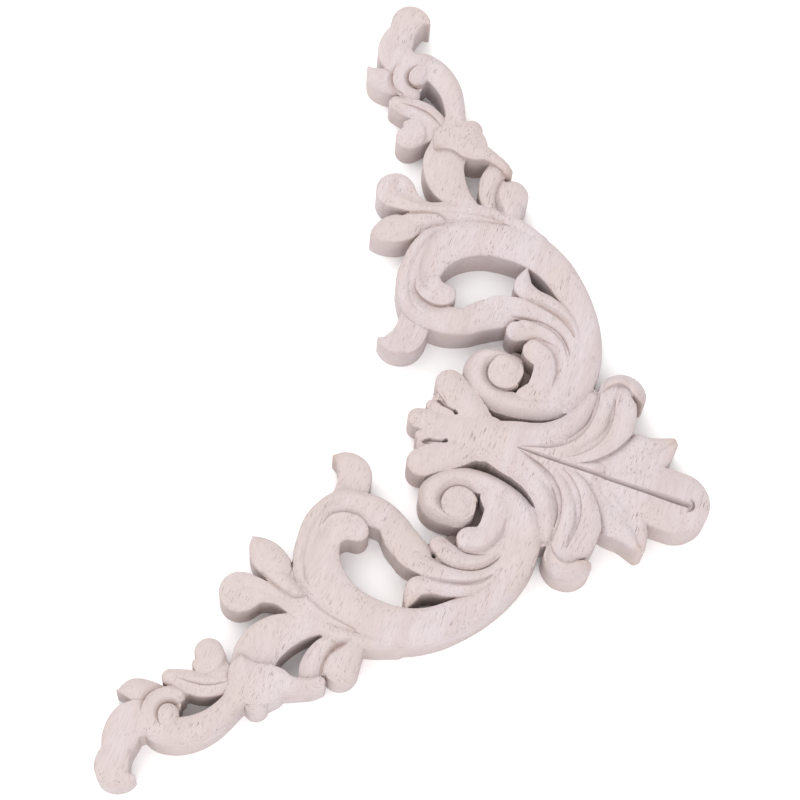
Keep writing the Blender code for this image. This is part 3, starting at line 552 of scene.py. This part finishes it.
# %% [markdown]
# A groove is deepest where its line is widest and runs out where the line narrows. A stop cut
# fades in from its own line to the side that is pared away. A pit goes down to a set height.

# %% Wood taken away by a cut
def carve(form, points, height):
    """Take the wood of one cut away from the heights of some points."""
    place, lean, nearest, _ = reach_of(form, points)
    covered = place < 1
    if form["rule"] == "cut":
        covered &= height > form["heights"][1]
        height[covered] = form["heights"][1]
        return
    line = form["line"]
    share = line[nearest, 2] / line[:, 2].max()
    if form["rule"] == "carve left":
        share = share * np.clip(lean, 0, 1)
    if form["rule"] == "carve right":
        share = share * np.clip(-lean, 0, 1)
    depth = section_height(form, np.clip(place, 0, 1), lean) * share
    height[covered] -= depth[covered]


print("kinds of cut:", sorted({form["rule"] for form in cuts}))

# %% [markdown]
# The outline is where the distance outside all fronds passes zero. Sanding by hand wears the
# sharp top edge off, so the height drops in a small quarter round next to the outline.

# %% Height and outline at any point
SLACK = 0.15  # mm outside a frond where its height still holds, for points on the outline
ARRIS = 0.32  # radius of the worn top edge
LOWEST = 2.0
BELOW_SOLID = 0.02  # mm that the crests stay under the solid's top
HIGHEST = MM_PER_M * solid_high[2] - BELOW_SOLID


def measure(points):
    """Distance of each point outside the outline, and its height on the carving."""
    outside = np.full(len(points), np.inf)
    height = np.zeros(len(points))
    for form in fronds:
        close = near(form, points)
        place, lean, nearest, gap = reach_of(form, points[close])
        shape = section_height(form, np.clip(place, 0, 1), lean) + form["line"][nearest, 3]
        here = height[close]
        covered = ((place < 1) | (gap < SLACK)) & (shape > here)
        here[covered] = shape[covered]
        height[close] = here
        outside[close] = np.minimum(outside[close], gap)
    for form in gaps:
        close = near(form, points)
        gap = reach_of(form, points[close])[-1]
        outside[close] = np.maximum(outside[close], -gap)
    for form in cuts:
        close = near(form, points)
        here = height[close]
        carve(form, points[close], here)
        height[close] = here
    inside = np.clip(-outside, 0, ARRIS)
    worn = ARRIS - np.sqrt(np.clip(ARRIS ** 2 - (ARRIS - inside) ** 2, 0, None))
    return outside, np.clip(height - worn, LOWEST, HIGHEST)


print("height in the middle of the leaf, mm:", round(float(measure(TRIAL)[1][0]), 2))

# %% [markdown]
# The blank is a plane primitive divided into small cells over half of the drawing. It stands
# for the sawn board that the real carving starts from.

# %% The blank
GRID_STEP = 0.7  # mm


def deselect_all():
    """Start the next operator with nothing selected."""
    bpy.ops.object.select_all(action="DESELECT")


lines = np.vstack([form["line"] for form in fronds])
low = np.floor((lines[:, :2] - lines[:, 2:3]).min(axis=0) / GRID_STEP) - 1
high = np.ceil((lines[:, :2] + lines[:, 2:3]).max(axis=0) / GRID_STEP) + 1
low[1] = 0
cells = (high - low).astype(int)
size = cells * GRID_STEP
middle = (low + high) / 2 * GRID_STEP

deselect_all()
bpy.ops.mesh.primitive_grid_add(x_subdivisions=int(cells[0]), y_subdivisions=int(cells[1]), size=1)
onlay = bpy.context.object
onlay.name = "carved_onlay"
onlay.scale = (size[0], size[1], 1)
onlay.location = (middle[0], middle[1], 0)
bpy.ops.object.transform_apply(location=True, rotation=False, scale=True)
print("blank, cells:", len(onlay.data.polygons))

# %% [markdown]
# The saw follows the outline: each edge that crosses it is split there, the new points are
# joined up, and what lies outside is dropped. By hand the knife tool would do this. Here bmesh
# does it, because the place of every cut is worked out, and so are the moves further on.

# %% Cut to the outline
NEAREST_CUT = 0.12  # share of an edge that stays uncut at either end, against slivers


def points_of(mesh):
    """The places of all points of a mesh, seen from above."""
    return np.array([vertex.co.xy for vertex in mesh.verts])


def cut_to_outline(mesh):
    """Split the grid where the outline crosses it and drop what lies outside."""
    outside, _ = measure(points_of(mesh))
    mesh.verts.index_update()
    depth = {vertex: outside[vertex.index] for vertex in mesh.verts}
    rim = []
    for edge in list(mesh.edges):
        start, end = edge.verts
        if (depth[start] < 0) == (depth[end] < 0):
            continue
        share = 0.5
        if np.isfinite(depth[start]) and np.isfinite(depth[end]):
            share = depth[start] / (depth[start] - depth[end])
        share = min(max(share, NEAREST_CUT), 1 - NEAREST_CUT)
        rim.append(bmesh.utils.edge_split(edge, start, share)[1])
    bmesh.ops.connect_verts(mesh, verts=rim)
    waste = [vertex for vertex, gap in depth.items() if gap >= 0]
    bmesh.ops.delete(mesh, geom=waste, context="VERTS")
    bmesh.ops.triangulate(mesh, faces=mesh.faces)


mesh = bmesh.new()
mesh.from_mesh(onlay.data)
bmesh.ops.triangulate(mesh, faces=mesh.faces)
cut_to_outline(mesh)
print("blank, triangles on one half:", len(mesh.faces))

# %% [markdown]
# A gouge leaves broad smooth faces and crisp steps. Points are only needed close together
# where the surface bends, so an edge is halved where its middle would lie off the carving.

# %% Which edges bend
FINEST = 0.24  # mm, the length under which an edge stays as it is
BEND = 0.035  # mm that the middle of an edge may lie off the carving


def bent_edges(mesh):
    """Edges that are long enough to halve and whose middle lies off the carving."""
    points = points_of(mesh)
    _, heights = measure(points)
    mesh.verts.index_update()
    edges = mesh.edges[:]
    ends = np.array([[vertex.index for vertex in edge.verts] for edge in edges])
    start, end = points[ends[:, 0]], points[ends[:, 1]]
    _, between = measure((start + end) / 2)
    off = np.abs(between - heights[ends].mean(axis=1))
    chosen = (off > BEND) & (np.hypot(*(end - start).T) > FINEST)
    return [edge for edge, take in zip(edges, chosen) if take]


print("blank, edges:", len(mesh.edges))

# %% [markdown]
# New points on the rim start halfway along a straight edge, so they are moved out or in to the
# true curve of the outline. Where two fronds meet in a notch there is no single way out, which
# shows as a slope less than one, and such points stay.

# %% The rim on the true outline
PROBE = 0.02  # mm to either side, to find the way out
FARTHEST_SNAP = 0.12  # mm
CLEAN_EDGE = 0.9  # least square of that slope
ON_DIAGONAL = 1e-3  # mm, below which a point counts as on the diagonal


def snap_to_outline(mesh):
    """Move the points of the rim onto the true outline, straight out from it."""
    rim = [vertex for vertex in mesh.verts if vertex.is_boundary and vertex.co.y > ON_DIAGONAL]
    points = np.array([vertex.co.xy for vertex in rim])
    outside, _ = measure(points)
    steepness = []
    for step in ((PROBE, 0.0), (0.0, PROBE)):
        ahead, _ = measure(points + step)
        behind, _ = measure(points - step)
        steepness.append((ahead - behind) / (2 * PROBE))
    steepness = np.array(steepness).T
    clean = (steepness ** 2).sum(axis=1) > CLEAN_EDGE
    move = np.where(clean, np.clip(outside, -FARTHEST_SNAP, FARTHEST_SNAP), 0)[:, None] * steepness
    for vertex, (x, y) in zip(rim, points - move):
        vertex.co.x = x
        vertex.co.y = max(y, ON_DIAGONAL)


print("blank, edges on the rim:", sum(edge.is_boundary for edge in mesh.edges))

# %% [markdown]
# Three rounds of halving turn the coarse blank into a mesh that is fine at every crest, vein
# and edge and stays coarse on the flats. A Subdivision Surface modifier would make it fine
# everywhere and round off the stop cuts. Then every point is lifted to its height.

# %% The carved top
ROUNDS = 3

for _ in range(ROUNDS):
    bmesh.ops.subdivide_edges(mesh, edges=bent_edges(mesh), cuts=1)
    bmesh.ops.triangulate(mesh, faces=mesh.faces)
    snap_to_outline(mesh)
_, heights = measure(points_of(mesh))
for vertex, z in zip(mesh.verts, heights):
    vertex.co.z = z
    if vertex.co.y < ON_DIAGONAL / 2:
        vertex.co.y = 0
mesh.to_mesh(onlay.data)
mesh.free()
print("carved top, triangles on one half:", len(onlay.data.polygons))

# %% [markdown]
# Upright walls drop from the outline to the back. The open edges are extruded down a little,
# which keeps the worn top edge apart from the straight wall so that both shade well. Then
# they are extruded again down to z = 0, and the flat sawn back is filled in between them. The
# half stays open on the diagonal.

# %% Walls and flat back
WALL_TOP = 0.4  # mm
FLAT = 0.99  # least upward part of a flat face's normal


def on_diagonal(edge):
    """Whether both ends of an edge lie on the diagonal."""
    return all(vertex.co.y == 0 for vertex in edge.verts)


def extruded_down(mesh, edges, to_height):
    """Extrude edges and give the new points their heights; returns the new edges."""
    made = bmesh.ops.extrude_edge_only(mesh, edges=edges)["geom"]
    for item in made:
        if isinstance(item, bmesh.types.BMVert):
            item.co.z = to_height(item.co.z)
    return [item for item in made if isinstance(item, bmesh.types.BMEdge) and item.is_boundary
            and not on_diagonal(item)]


mesh = bmesh.new()
mesh.from_mesh(onlay.data)
top_area = sum(face.calc_area() * abs(face.normal.z) for face in mesh.faces)
rim = [edge for edge in mesh.edges if edge.is_boundary and not on_diagonal(edge)]
rim = extruded_down(mesh, rim, lambda z: z - WALL_TOP)
rim = extruded_down(mesh, rim, lambda z: 0.0)
foot = [edge for edge in rim if all(vertex.co.z == 0 for vertex in edge.verts)]
uses = Counter(vertex for edge in foot for vertex in edge.verts)
ends = [vertex for vertex, count in uses.items() if count == 1]
foot.append(mesh.edges.new(ends))
bmesh.ops.triangle_fill(mesh, edges=foot, use_beauty=True)
bmesh.ops.triangulate(mesh, faces=mesh.faces)
bmesh.ops.recalc_face_normals(mesh, faces=mesh.faces)
mesh.to_mesh(onlay.data)
back_area = sum(face.calc_area() for face in mesh.faces if abs(face.normal.z) > FLAT
                and all(vertex.co.z == 0 for vertex in face.verts))
print("areas of the top and the back, mm2:", round(top_area, 1), round(back_area, 1))
mesh.free()

# %% [markdown]
# The other half is a mirror image, so a Mirror modifier makes it and welds the diagonal. All
# normals are worked out again afterwards, so that every face points outwards.

# %% The other half
WELD = 0.01  # mm between points that are made one

mirror = onlay.modifiers.new("other half", "MIRROR")
mirror.use_axis = (False, True, False)
mirror.merge_threshold = WELD
bpy.ops.object.modifier_apply(modifier=mirror.name)
bpy.ops.object.mode_set(mode="EDIT")
bpy.ops.mesh.select_all(action="SELECT")
bpy.ops.mesh.normals_make_consistent(inside=False)
bpy.ops.object.mode_set(mode="OBJECT")
print("whole carving, triangles:", len(onlay.data.polygons))

# %% [markdown]
# The drawing's millimetres become metres, and the diagonal comes to lie at 45 degrees. The
# piece is centred by its own outline, and the few points that are a hair outside the solid's
# box come back to its side. Smooth shading with an angle keeps the gouge's faces soft and the
# arris, the stop cuts and the foot of the walls crisp.

# %% Turned and moved to the solid's place
CREASE_ANGLE = math.radians(50)

onlay.scale = (MM, MM, MM)
onlay.rotation_euler.z = TURN
bpy.ops.object.transform_apply(location=False, rotation=True, scale=True)
places = np.array([vertex.co for vertex in onlay.data.vertices])
shift = -(places.min(axis=0) + places.max(axis=0)) / 2
onlay.location = (shift[0], shift[1], 0)
bpy.ops.object.transform_apply(location=True, rotation=False, scale=False)
for vertex in onlay.data.vertices:
    vertex.co.x = min(max(vertex.co.x, solid_low[0]), solid_high[0])
    vertex.co.y = min(max(vertex.co.y, solid_low[1]), solid_high[1])
bpy.ops.object.shade_smooth_by_angle(angle=CREASE_ANGLE)
print("height of the carving, mm:", round(MM_PER_M * float(places[:, 2].max()), 2))

# %% [markdown]
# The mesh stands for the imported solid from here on. It is glued down and nothing moves, so it
# rides on the root, and its one finish is wood.

# %% What the carving stands for
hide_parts("corner_onlay")
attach(onlay, "root")
print("pieces:", onlay.name)

# %% [markdown]
# Deep hollows of the real piece look browner than its crests, because light that reaches them
# has met wood several times. That light is painted here as shade: a brown laid into the colour.
# How deep in a hollow a point lies is found with short rays from it: the more of them meet wood
# close by, the deeper it is. This mask of the painted shade is kept on the mesh as an attribute, so
# it stays on the wood from every side.

# %% How deep in a hollow each point lies, for the painted shade
SHADE_RAY_REACH = 0.007  # m
RAY_START = 0.0001  # m off the surface, so that a ray doesn't meet its own face
RAYS_UP = 3
RAYS_ROUND = 5


def ray_directions():
    """Directions spread evenly over half a sphere about +Z."""
    directions = []
    for row in range(RAYS_UP):
        climb = (row + 0.5) / RAYS_UP
        spread = math.sqrt(1 - climb ** 2)
        for turn in range(RAYS_ROUND):
            angle = 2 * math.pi * (turn + row / RAYS_UP) / RAYS_ROUND
            directions.append(Vector((spread * math.cos(angle), spread * math.sin(angle), climb)))
    return directions


tree = BVHTree.FromPolygons([vertex.co.copy() for vertex in onlay.data.vertices],
                            [face.vertices[:] for face in onlay.data.polygons])
directions = ray_directions()
painted_shade_mask = []
for vertex in onlay.data.vertices:
    to_normal = vertex.normal.to_track_quat("Z", "Y")
    start = vertex.co + vertex.normal * RAY_START
    met = 0.0
    for direction in directions:
        distance = tree.ray_cast(start, to_normal @ direction, SHADE_RAY_REACH)[3]
        if distance is not None:
            met += (1 - distance / SHADE_RAY_REACH) * direction.z
    painted_shade_mask.append(met / sum(direction.z for direction in directions))
# This mask sets where shade is painted into the wood's colour.
onlay.data.attributes.new("painted_shade_mask", "FLOAT", "POINT").data.foreach_set("value", painted_shade_mask)
print("hollow, mean and most:", round(float(np.mean(painted_shade_mask)), 3), round(max(painted_shade_mask), 3))

# %% [markdown]
# The real piece is raw, sanded timber like rubberwood: pale, a little pink, with short dark
# pores along the grain and faint bands between the growth layers. It has no varnish, so the
# surface is rough and has little shine. A picture of wood would stretch on the walls. A
# pattern worked out from the place in space runs through the piece as real grain does.

# %% The raw wood and its shader
ROUGHNESS = 0.72
SHINE = 0.3

wood = bpy.data.materials.new("raw pale hardwood")
wood.use_nodes = True
nodes = wood.node_tree.nodes
links = wood.node_tree.links
shader = nodes["Principled BSDF"]
shader.inputs["Roughness"].default_value = ROUGHNESS
shader.inputs["Specular IOR Level"].default_value = SHINE
onlay.data.materials.clear()
onlay.data.materials.append(wood)
print("material:", wood.name)

# %% [markdown]
# Noise stretched along one direction makes grain. A Mapping node turns the object's own
# coordinates to the grain, which runs straight across the diagonal, and scales them to a count
# of waves per mm: many across the grain and few along it.

# %% Noise along the grain
GRAIN_TURN = math.radians(45)

object_place = nodes.new("ShaderNodeTexCoord").outputs["Object"]


def in_grain(scale):
    """Object coordinates along the grain's own axes, with a count per mm on each axis."""
    mapping = nodes.new("ShaderNodeMapping")
    mapping.vector_type = "TEXTURE"
    mapping.inputs["Rotation"].default_value = (0, 0, GRAIN_TURN)
    mapping.inputs["Scale"].default_value = tuple(MM / count for count in scale)
    links.new(object_place, mapping.inputs["Vector"])
    return mapping.outputs["Vector"]


def noise(scale, detail=2.0, roughness=0.5, distortion=0.0):
    """Noise with a count of its waves per mm on each of the grain's axes."""
    node = nodes.new("ShaderNodeTexNoise")
    node.inputs["Scale"].default_value = 1.0
    node.inputs["Detail"].default_value = detail
    node.inputs["Roughness"].default_value = roughness
    node.inputs["Distortion"].default_value = distortion
    links.new(in_grain(scale), node.inputs["Vector"])
    return node.outputs["Fac"]


print("grain turned by", round(math.degrees(GRAIN_TURN)), "degrees")

# %% [markdown]
# One helper stretches a value to a new range, one does sums, and one lays on a colour.

# %% Helpers for values and colours
def remap(value, low, high, out_low=0.0, out_high=1.0):
    """Bring a value from one range into another, held at both ends."""
    node = nodes.new("ShaderNodeMapRange")
    node.interpolation_type = "SMOOTHSTEP"
    node.inputs["From Min"].default_value = low
    node.inputs["From Max"].default_value = high
    node.inputs["To Min"].default_value = out_low
    node.inputs["To Max"].default_value = out_high
    links.new(value, node.inputs["Value"])
    return node.outputs["Result"]


def combine(operation, one, other):
    """A sum, product or other join of two values, where the second may be a number."""
    node = nodes.new("ShaderNodeMath")
    node.operation = operation
    links.new(one, node.inputs[0])
    if isinstance(other, float):
        node.inputs[1].default_value = other
    else:
        links.new(other, node.inputs[1])
    return node.outputs["Value"]


def blend(share, ground, colour):
    """A colour laid over another one by a share."""
    node = nodes.new("ShaderNodeMix")
    node.data_type = "RGBA"
    links.new(share, node.inputs["Factor"])
    if isinstance(ground, tuple):
        node.inputs[6].default_value = ground
    else:
        links.new(ground, node.inputs[6])
    node.inputs[7].default_value = colour
    return node.outputs[2]


print("nodes so far:", len(nodes))

# %% [markdown]
# Pores are the few highest peaks of a fine noise, cut off sharply. They are 1 to 3 mm long,
# and they come closer together in some zones than in others. Growth bands are long and wide,
# fibres are fine, and broad patches are a little warmer than the rest.

# %% Pores, bands, fibres and patches
PORE_WAVES = (3.8, 0.30, 3.8)
PORE_PEAKS = (0.64, 0.70)
ZONE_WAVES = (0.10, 0.05, 0.10)
ZONE_RANGE = (0.35, 0.65, 0.3, 1.0)
BAND_WAVES = (0.16, 0.012, 0.16)
FIBRE_WAVES = (3.2, 0.16, 3.2)
PATCH_WAVES = (0.05, 0.035, 0.05)
SOFT_SPLIT = (0.38, 0.66)
# Painted shade: the part of the mask's range over which the brown of the hollows comes in.
PAINTED_SHADE_RANGE = (0.12, 0.6)

pore_share = remap(noise(PORE_WAVES, detail=1.0), *PORE_PEAKS)
pore_zones = remap(noise(ZONE_WAVES, detail=1.0), *ZONE_RANGE)
pore_share = combine("MULTIPLY", pore_share, pore_zones)
bands = remap(noise(BAND_WAVES, distortion=0.6), *SOFT_SPLIT)
fibres = noise(FIBRE_WAVES, detail=3.0, roughness=0.62)
patches = remap(noise(PATCH_WAVES), *SOFT_SPLIT)

# Painted shade: the mask from the rays sets where the brown of the hollows goes.
painted_shade_attribute = nodes.new("ShaderNodeAttribute")
painted_shade_attribute.attribute_name = "painted_shade_mask"
painted_shade_share = remap(painted_shade_attribute.outputs["Fac"], *PAINTED_SHADE_RANGE)
print("nodes with the patterns:", len(nodes))

# %% [markdown]
# The colours are laid on one after another, from the pale ground to the dark pores, each by
# its own share, as thin stains would be. One of them is painted shade: a brown in the hollows.

# %% Colours of the wood
WOOD_PALE = (0.515, 0.452, 0.461, 1.0)
WOOD_BAND = (0.47, 0.396, 0.392, 1.0)
WOOD_WARM = (0.49, 0.409, 0.384, 1.0)
WOOD_FIBRE = (0.39, 0.325, 0.316, 1.0)
# Painted shade: the brown that stands for light dimmed between the walls of the hollows.
PAINTED_SHADE_BROWN = (0.45, 0.35, 0.318, 1.0)
WOOD_PORE = (0.21, 0.15, 0.135, 1.0)
BAND_SHARE = 0.7
PATCH_SHARE = 0.7
FIBRE_RANGE = (0.38, 0.72, 0.0, 0.42)
# How much of the painted shade's brown goes on at most.
PAINTED_SHADE_STRENGTH = 0.75
PORE_SHARE = 0.7
ROUGHNESS_RANGE = (0.3, 0.7, 0.62, 0.82)

colour = blend(combine("MULTIPLY", bands, BAND_SHARE), WOOD_PALE, WOOD_BAND)
colour = blend(combine("MULTIPLY", patches, PATCH_SHARE), colour, WOOD_WARM)
colour = blend(remap(fibres, *FIBRE_RANGE), colour, WOOD_FIBRE)
# Painted shade laid into the hollows, in place of light that bounces between wood walls.
colour = blend(combine("MULTIPLY", painted_shade_share, PAINTED_SHADE_STRENGTH), colour, PAINTED_SHADE_BROWN)
colour = blend(combine("MULTIPLY", pore_share, PORE_SHARE), colour, WOOD_PORE)
links.new(colour, shader.inputs["Base Color"])
links.new(remap(fibres, *ROUGHNESS_RANGE), shader.inputs["Roughness"])
print("nodes with the colours:", len(nodes))

# %% [markdown]
# Sanded wood still has its fibres standing a little proud and its pores open. A bump of about
# a tenth of a millimetre shows that in raking light without any more points.

# %% Fine relief of the surface
FIBRE_RELIEF = 0.45
BUMP_STRENGTH = 0.6
BUMP_HEIGHT = 0.00012  # m

relief = combine("SUBTRACT", combine("MULTIPLY", fibres, FIBRE_RELIEF), pore_share)
bump = nodes.new("ShaderNodeBump")
bump.inputs["Strength"].default_value = BUMP_STRENGTH
bump.inputs["Distance"].default_value = BUMP_HEIGHT
links.new(relief, bump.inputs["Height"])
links.new(bump.outputs["Normal"], shader.inputs["Normal"])
print("wood, nodes:", len(nodes))

# %% [markdown]
# The piece lies on a white sheet in an even, bright room, as in a shop's picture of it. The
# world's colour is that room, and it leaves the shadows faint.

# %% Floor and room
FLOOR_SIZE = 6  # m
PAPER_COLOUR = (0.97, 0.97, 0.97, 1)
PAPER_ROUGHNESS = 0.9
ROOM_COLOUR = (1.0, 0.995, 0.995, 1)
ROOM_STRENGTH = 0.9

deselect_all()
bpy.ops.mesh.primitive_plane_add(size=FLOOR_SIZE, location=(0, 0, 0))
floor = bpy.context.object
floor.name = "floor"
paper = bpy.data.materials.new("white paper")
paper.use_nodes = True
paper_shader = paper.node_tree.nodes["Principled BSDF"]
paper_shader.inputs["Base Color"].default_value = PAPER_COLOUR
paper_shader.inputs["Roughness"].default_value = PAPER_ROUGHNESS
floor.data.materials.append(paper)

world = bpy.data.worlds.new("studio")
bpy.context.scene.world = world
world.use_nodes = True
room = world.node_tree.nodes["Background"]
room.inputs["Color"].default_value = ROOM_COLOUR
room.inputs["Strength"].default_value = ROOM_STRENGTH
print("floor, m:", FLOOR_SIZE, "room strength:", ROOM_STRENGTH)

# %% [markdown]
# The camera looks down on the carving, 22.5 degrees off upright, so that the near walls just
# show. Its place is worked out in the drawing frame and then carried over to metres.

# %% Camera
SPAN = 268.0  # mm, the length that the numbers below are given in
TILT = math.radians(22.5)
HEADING = math.radians(-77.42)
ROLL = math.radians(6.84)
FOCUS = 2329.0  # focal length in pixels
IMAGE_WIDTH = 800  # pixels
SENSOR_WIDTH = 36  # mm
SPAN_PIXELS = 880.0  # how long the span looks in the picture
AIM = (0.1632, -0.0786)  # the drawing's origin from the picture's middle, in spans
AIM_HEIGHT = 2.2  # mm from the back up to the plane that is aimed at

ahead = Vector((math.cos(HEADING), math.sin(HEADING), 0))
towards = math.sin(TILT) * ahead + math.cos(TILT) * Vector((0, 0, 1))
up = -math.cos(TILT) * ahead + math.sin(TILT) * Vector((0, 0, 1))
right = up.cross(towards)
right, up = (math.cos(ROLL) * right + math.sin(ROLL) * up,
             -math.sin(ROLL) * right + math.cos(ROLL) * up)
place = (FOCUS / SPAN_PIXELS * towards - AIM[0] * right - AIM[1] * up) * SPAN
place.z += AIM_HEIGHT
to_world = (Matrix.Translation((shift[0], shift[1], 0)) @ Matrix.Rotation(TURN, 4, "Z")
            @ Matrix.Scale(MM, 4))
turned = Matrix((right, up, towards)).transposed().to_4x4()
bpy.ops.object.camera_add()
camera = bpy.context.object
camera.matrix_world = (Matrix.Translation(to_world @ place)
                       @ Matrix.Rotation(TURN, 4, "Z") @ turned)
camera.data.sensor_width = SENSOR_WIDTH
camera.data.lens = FOCUS / IMAGE_WIDTH * SENSOR_WIDTH
bpy.context.scene.camera = camera
print("camera, mm off:", round(place.length), "lens, mm:", round(camera.data.lens, 1))

# %% [markdown]
# Two large softboxes model the relief. The key light stands behind the bud and shades the
# walls that face the camera, and the fill light, near the camera, keeps those walls soft. Both
# are a metre across, because small lamps would cut hard shadows into the hollows.

# %% Softboxes
KEY_PLACE = (-500, 300, 700)
KEY_POWER = 5.6
FILL_PLACE = (250, -700, 650)
FILL_POWER = 5.8
SOFTBOX_SIZE = 1.0  # m


def softbox(name, place, power):
    """An area light at a place of the drawing, turned towards the middle of the piece."""
    spot = to_world @ Vector(place)
    bpy.ops.object.light_add(type="AREA", location=tuple(spot))
    lamp = bpy.context.object
    lamp.name = name
    lamp.data.energy = power
    lamp.data.size = SOFTBOX_SIZE
    lamp.rotation_euler = (-spot).to_track_quat("-Z", "Y").to_euler()
    print(name, "light, m off:", round(spot.length, 2))


softbox("key", KEY_PLACE, KEY_POWER)
softbox("fill", FILL_PLACE, FILL_POWER)
bpy.context.scene.view_settings.view_transform = "Standard"
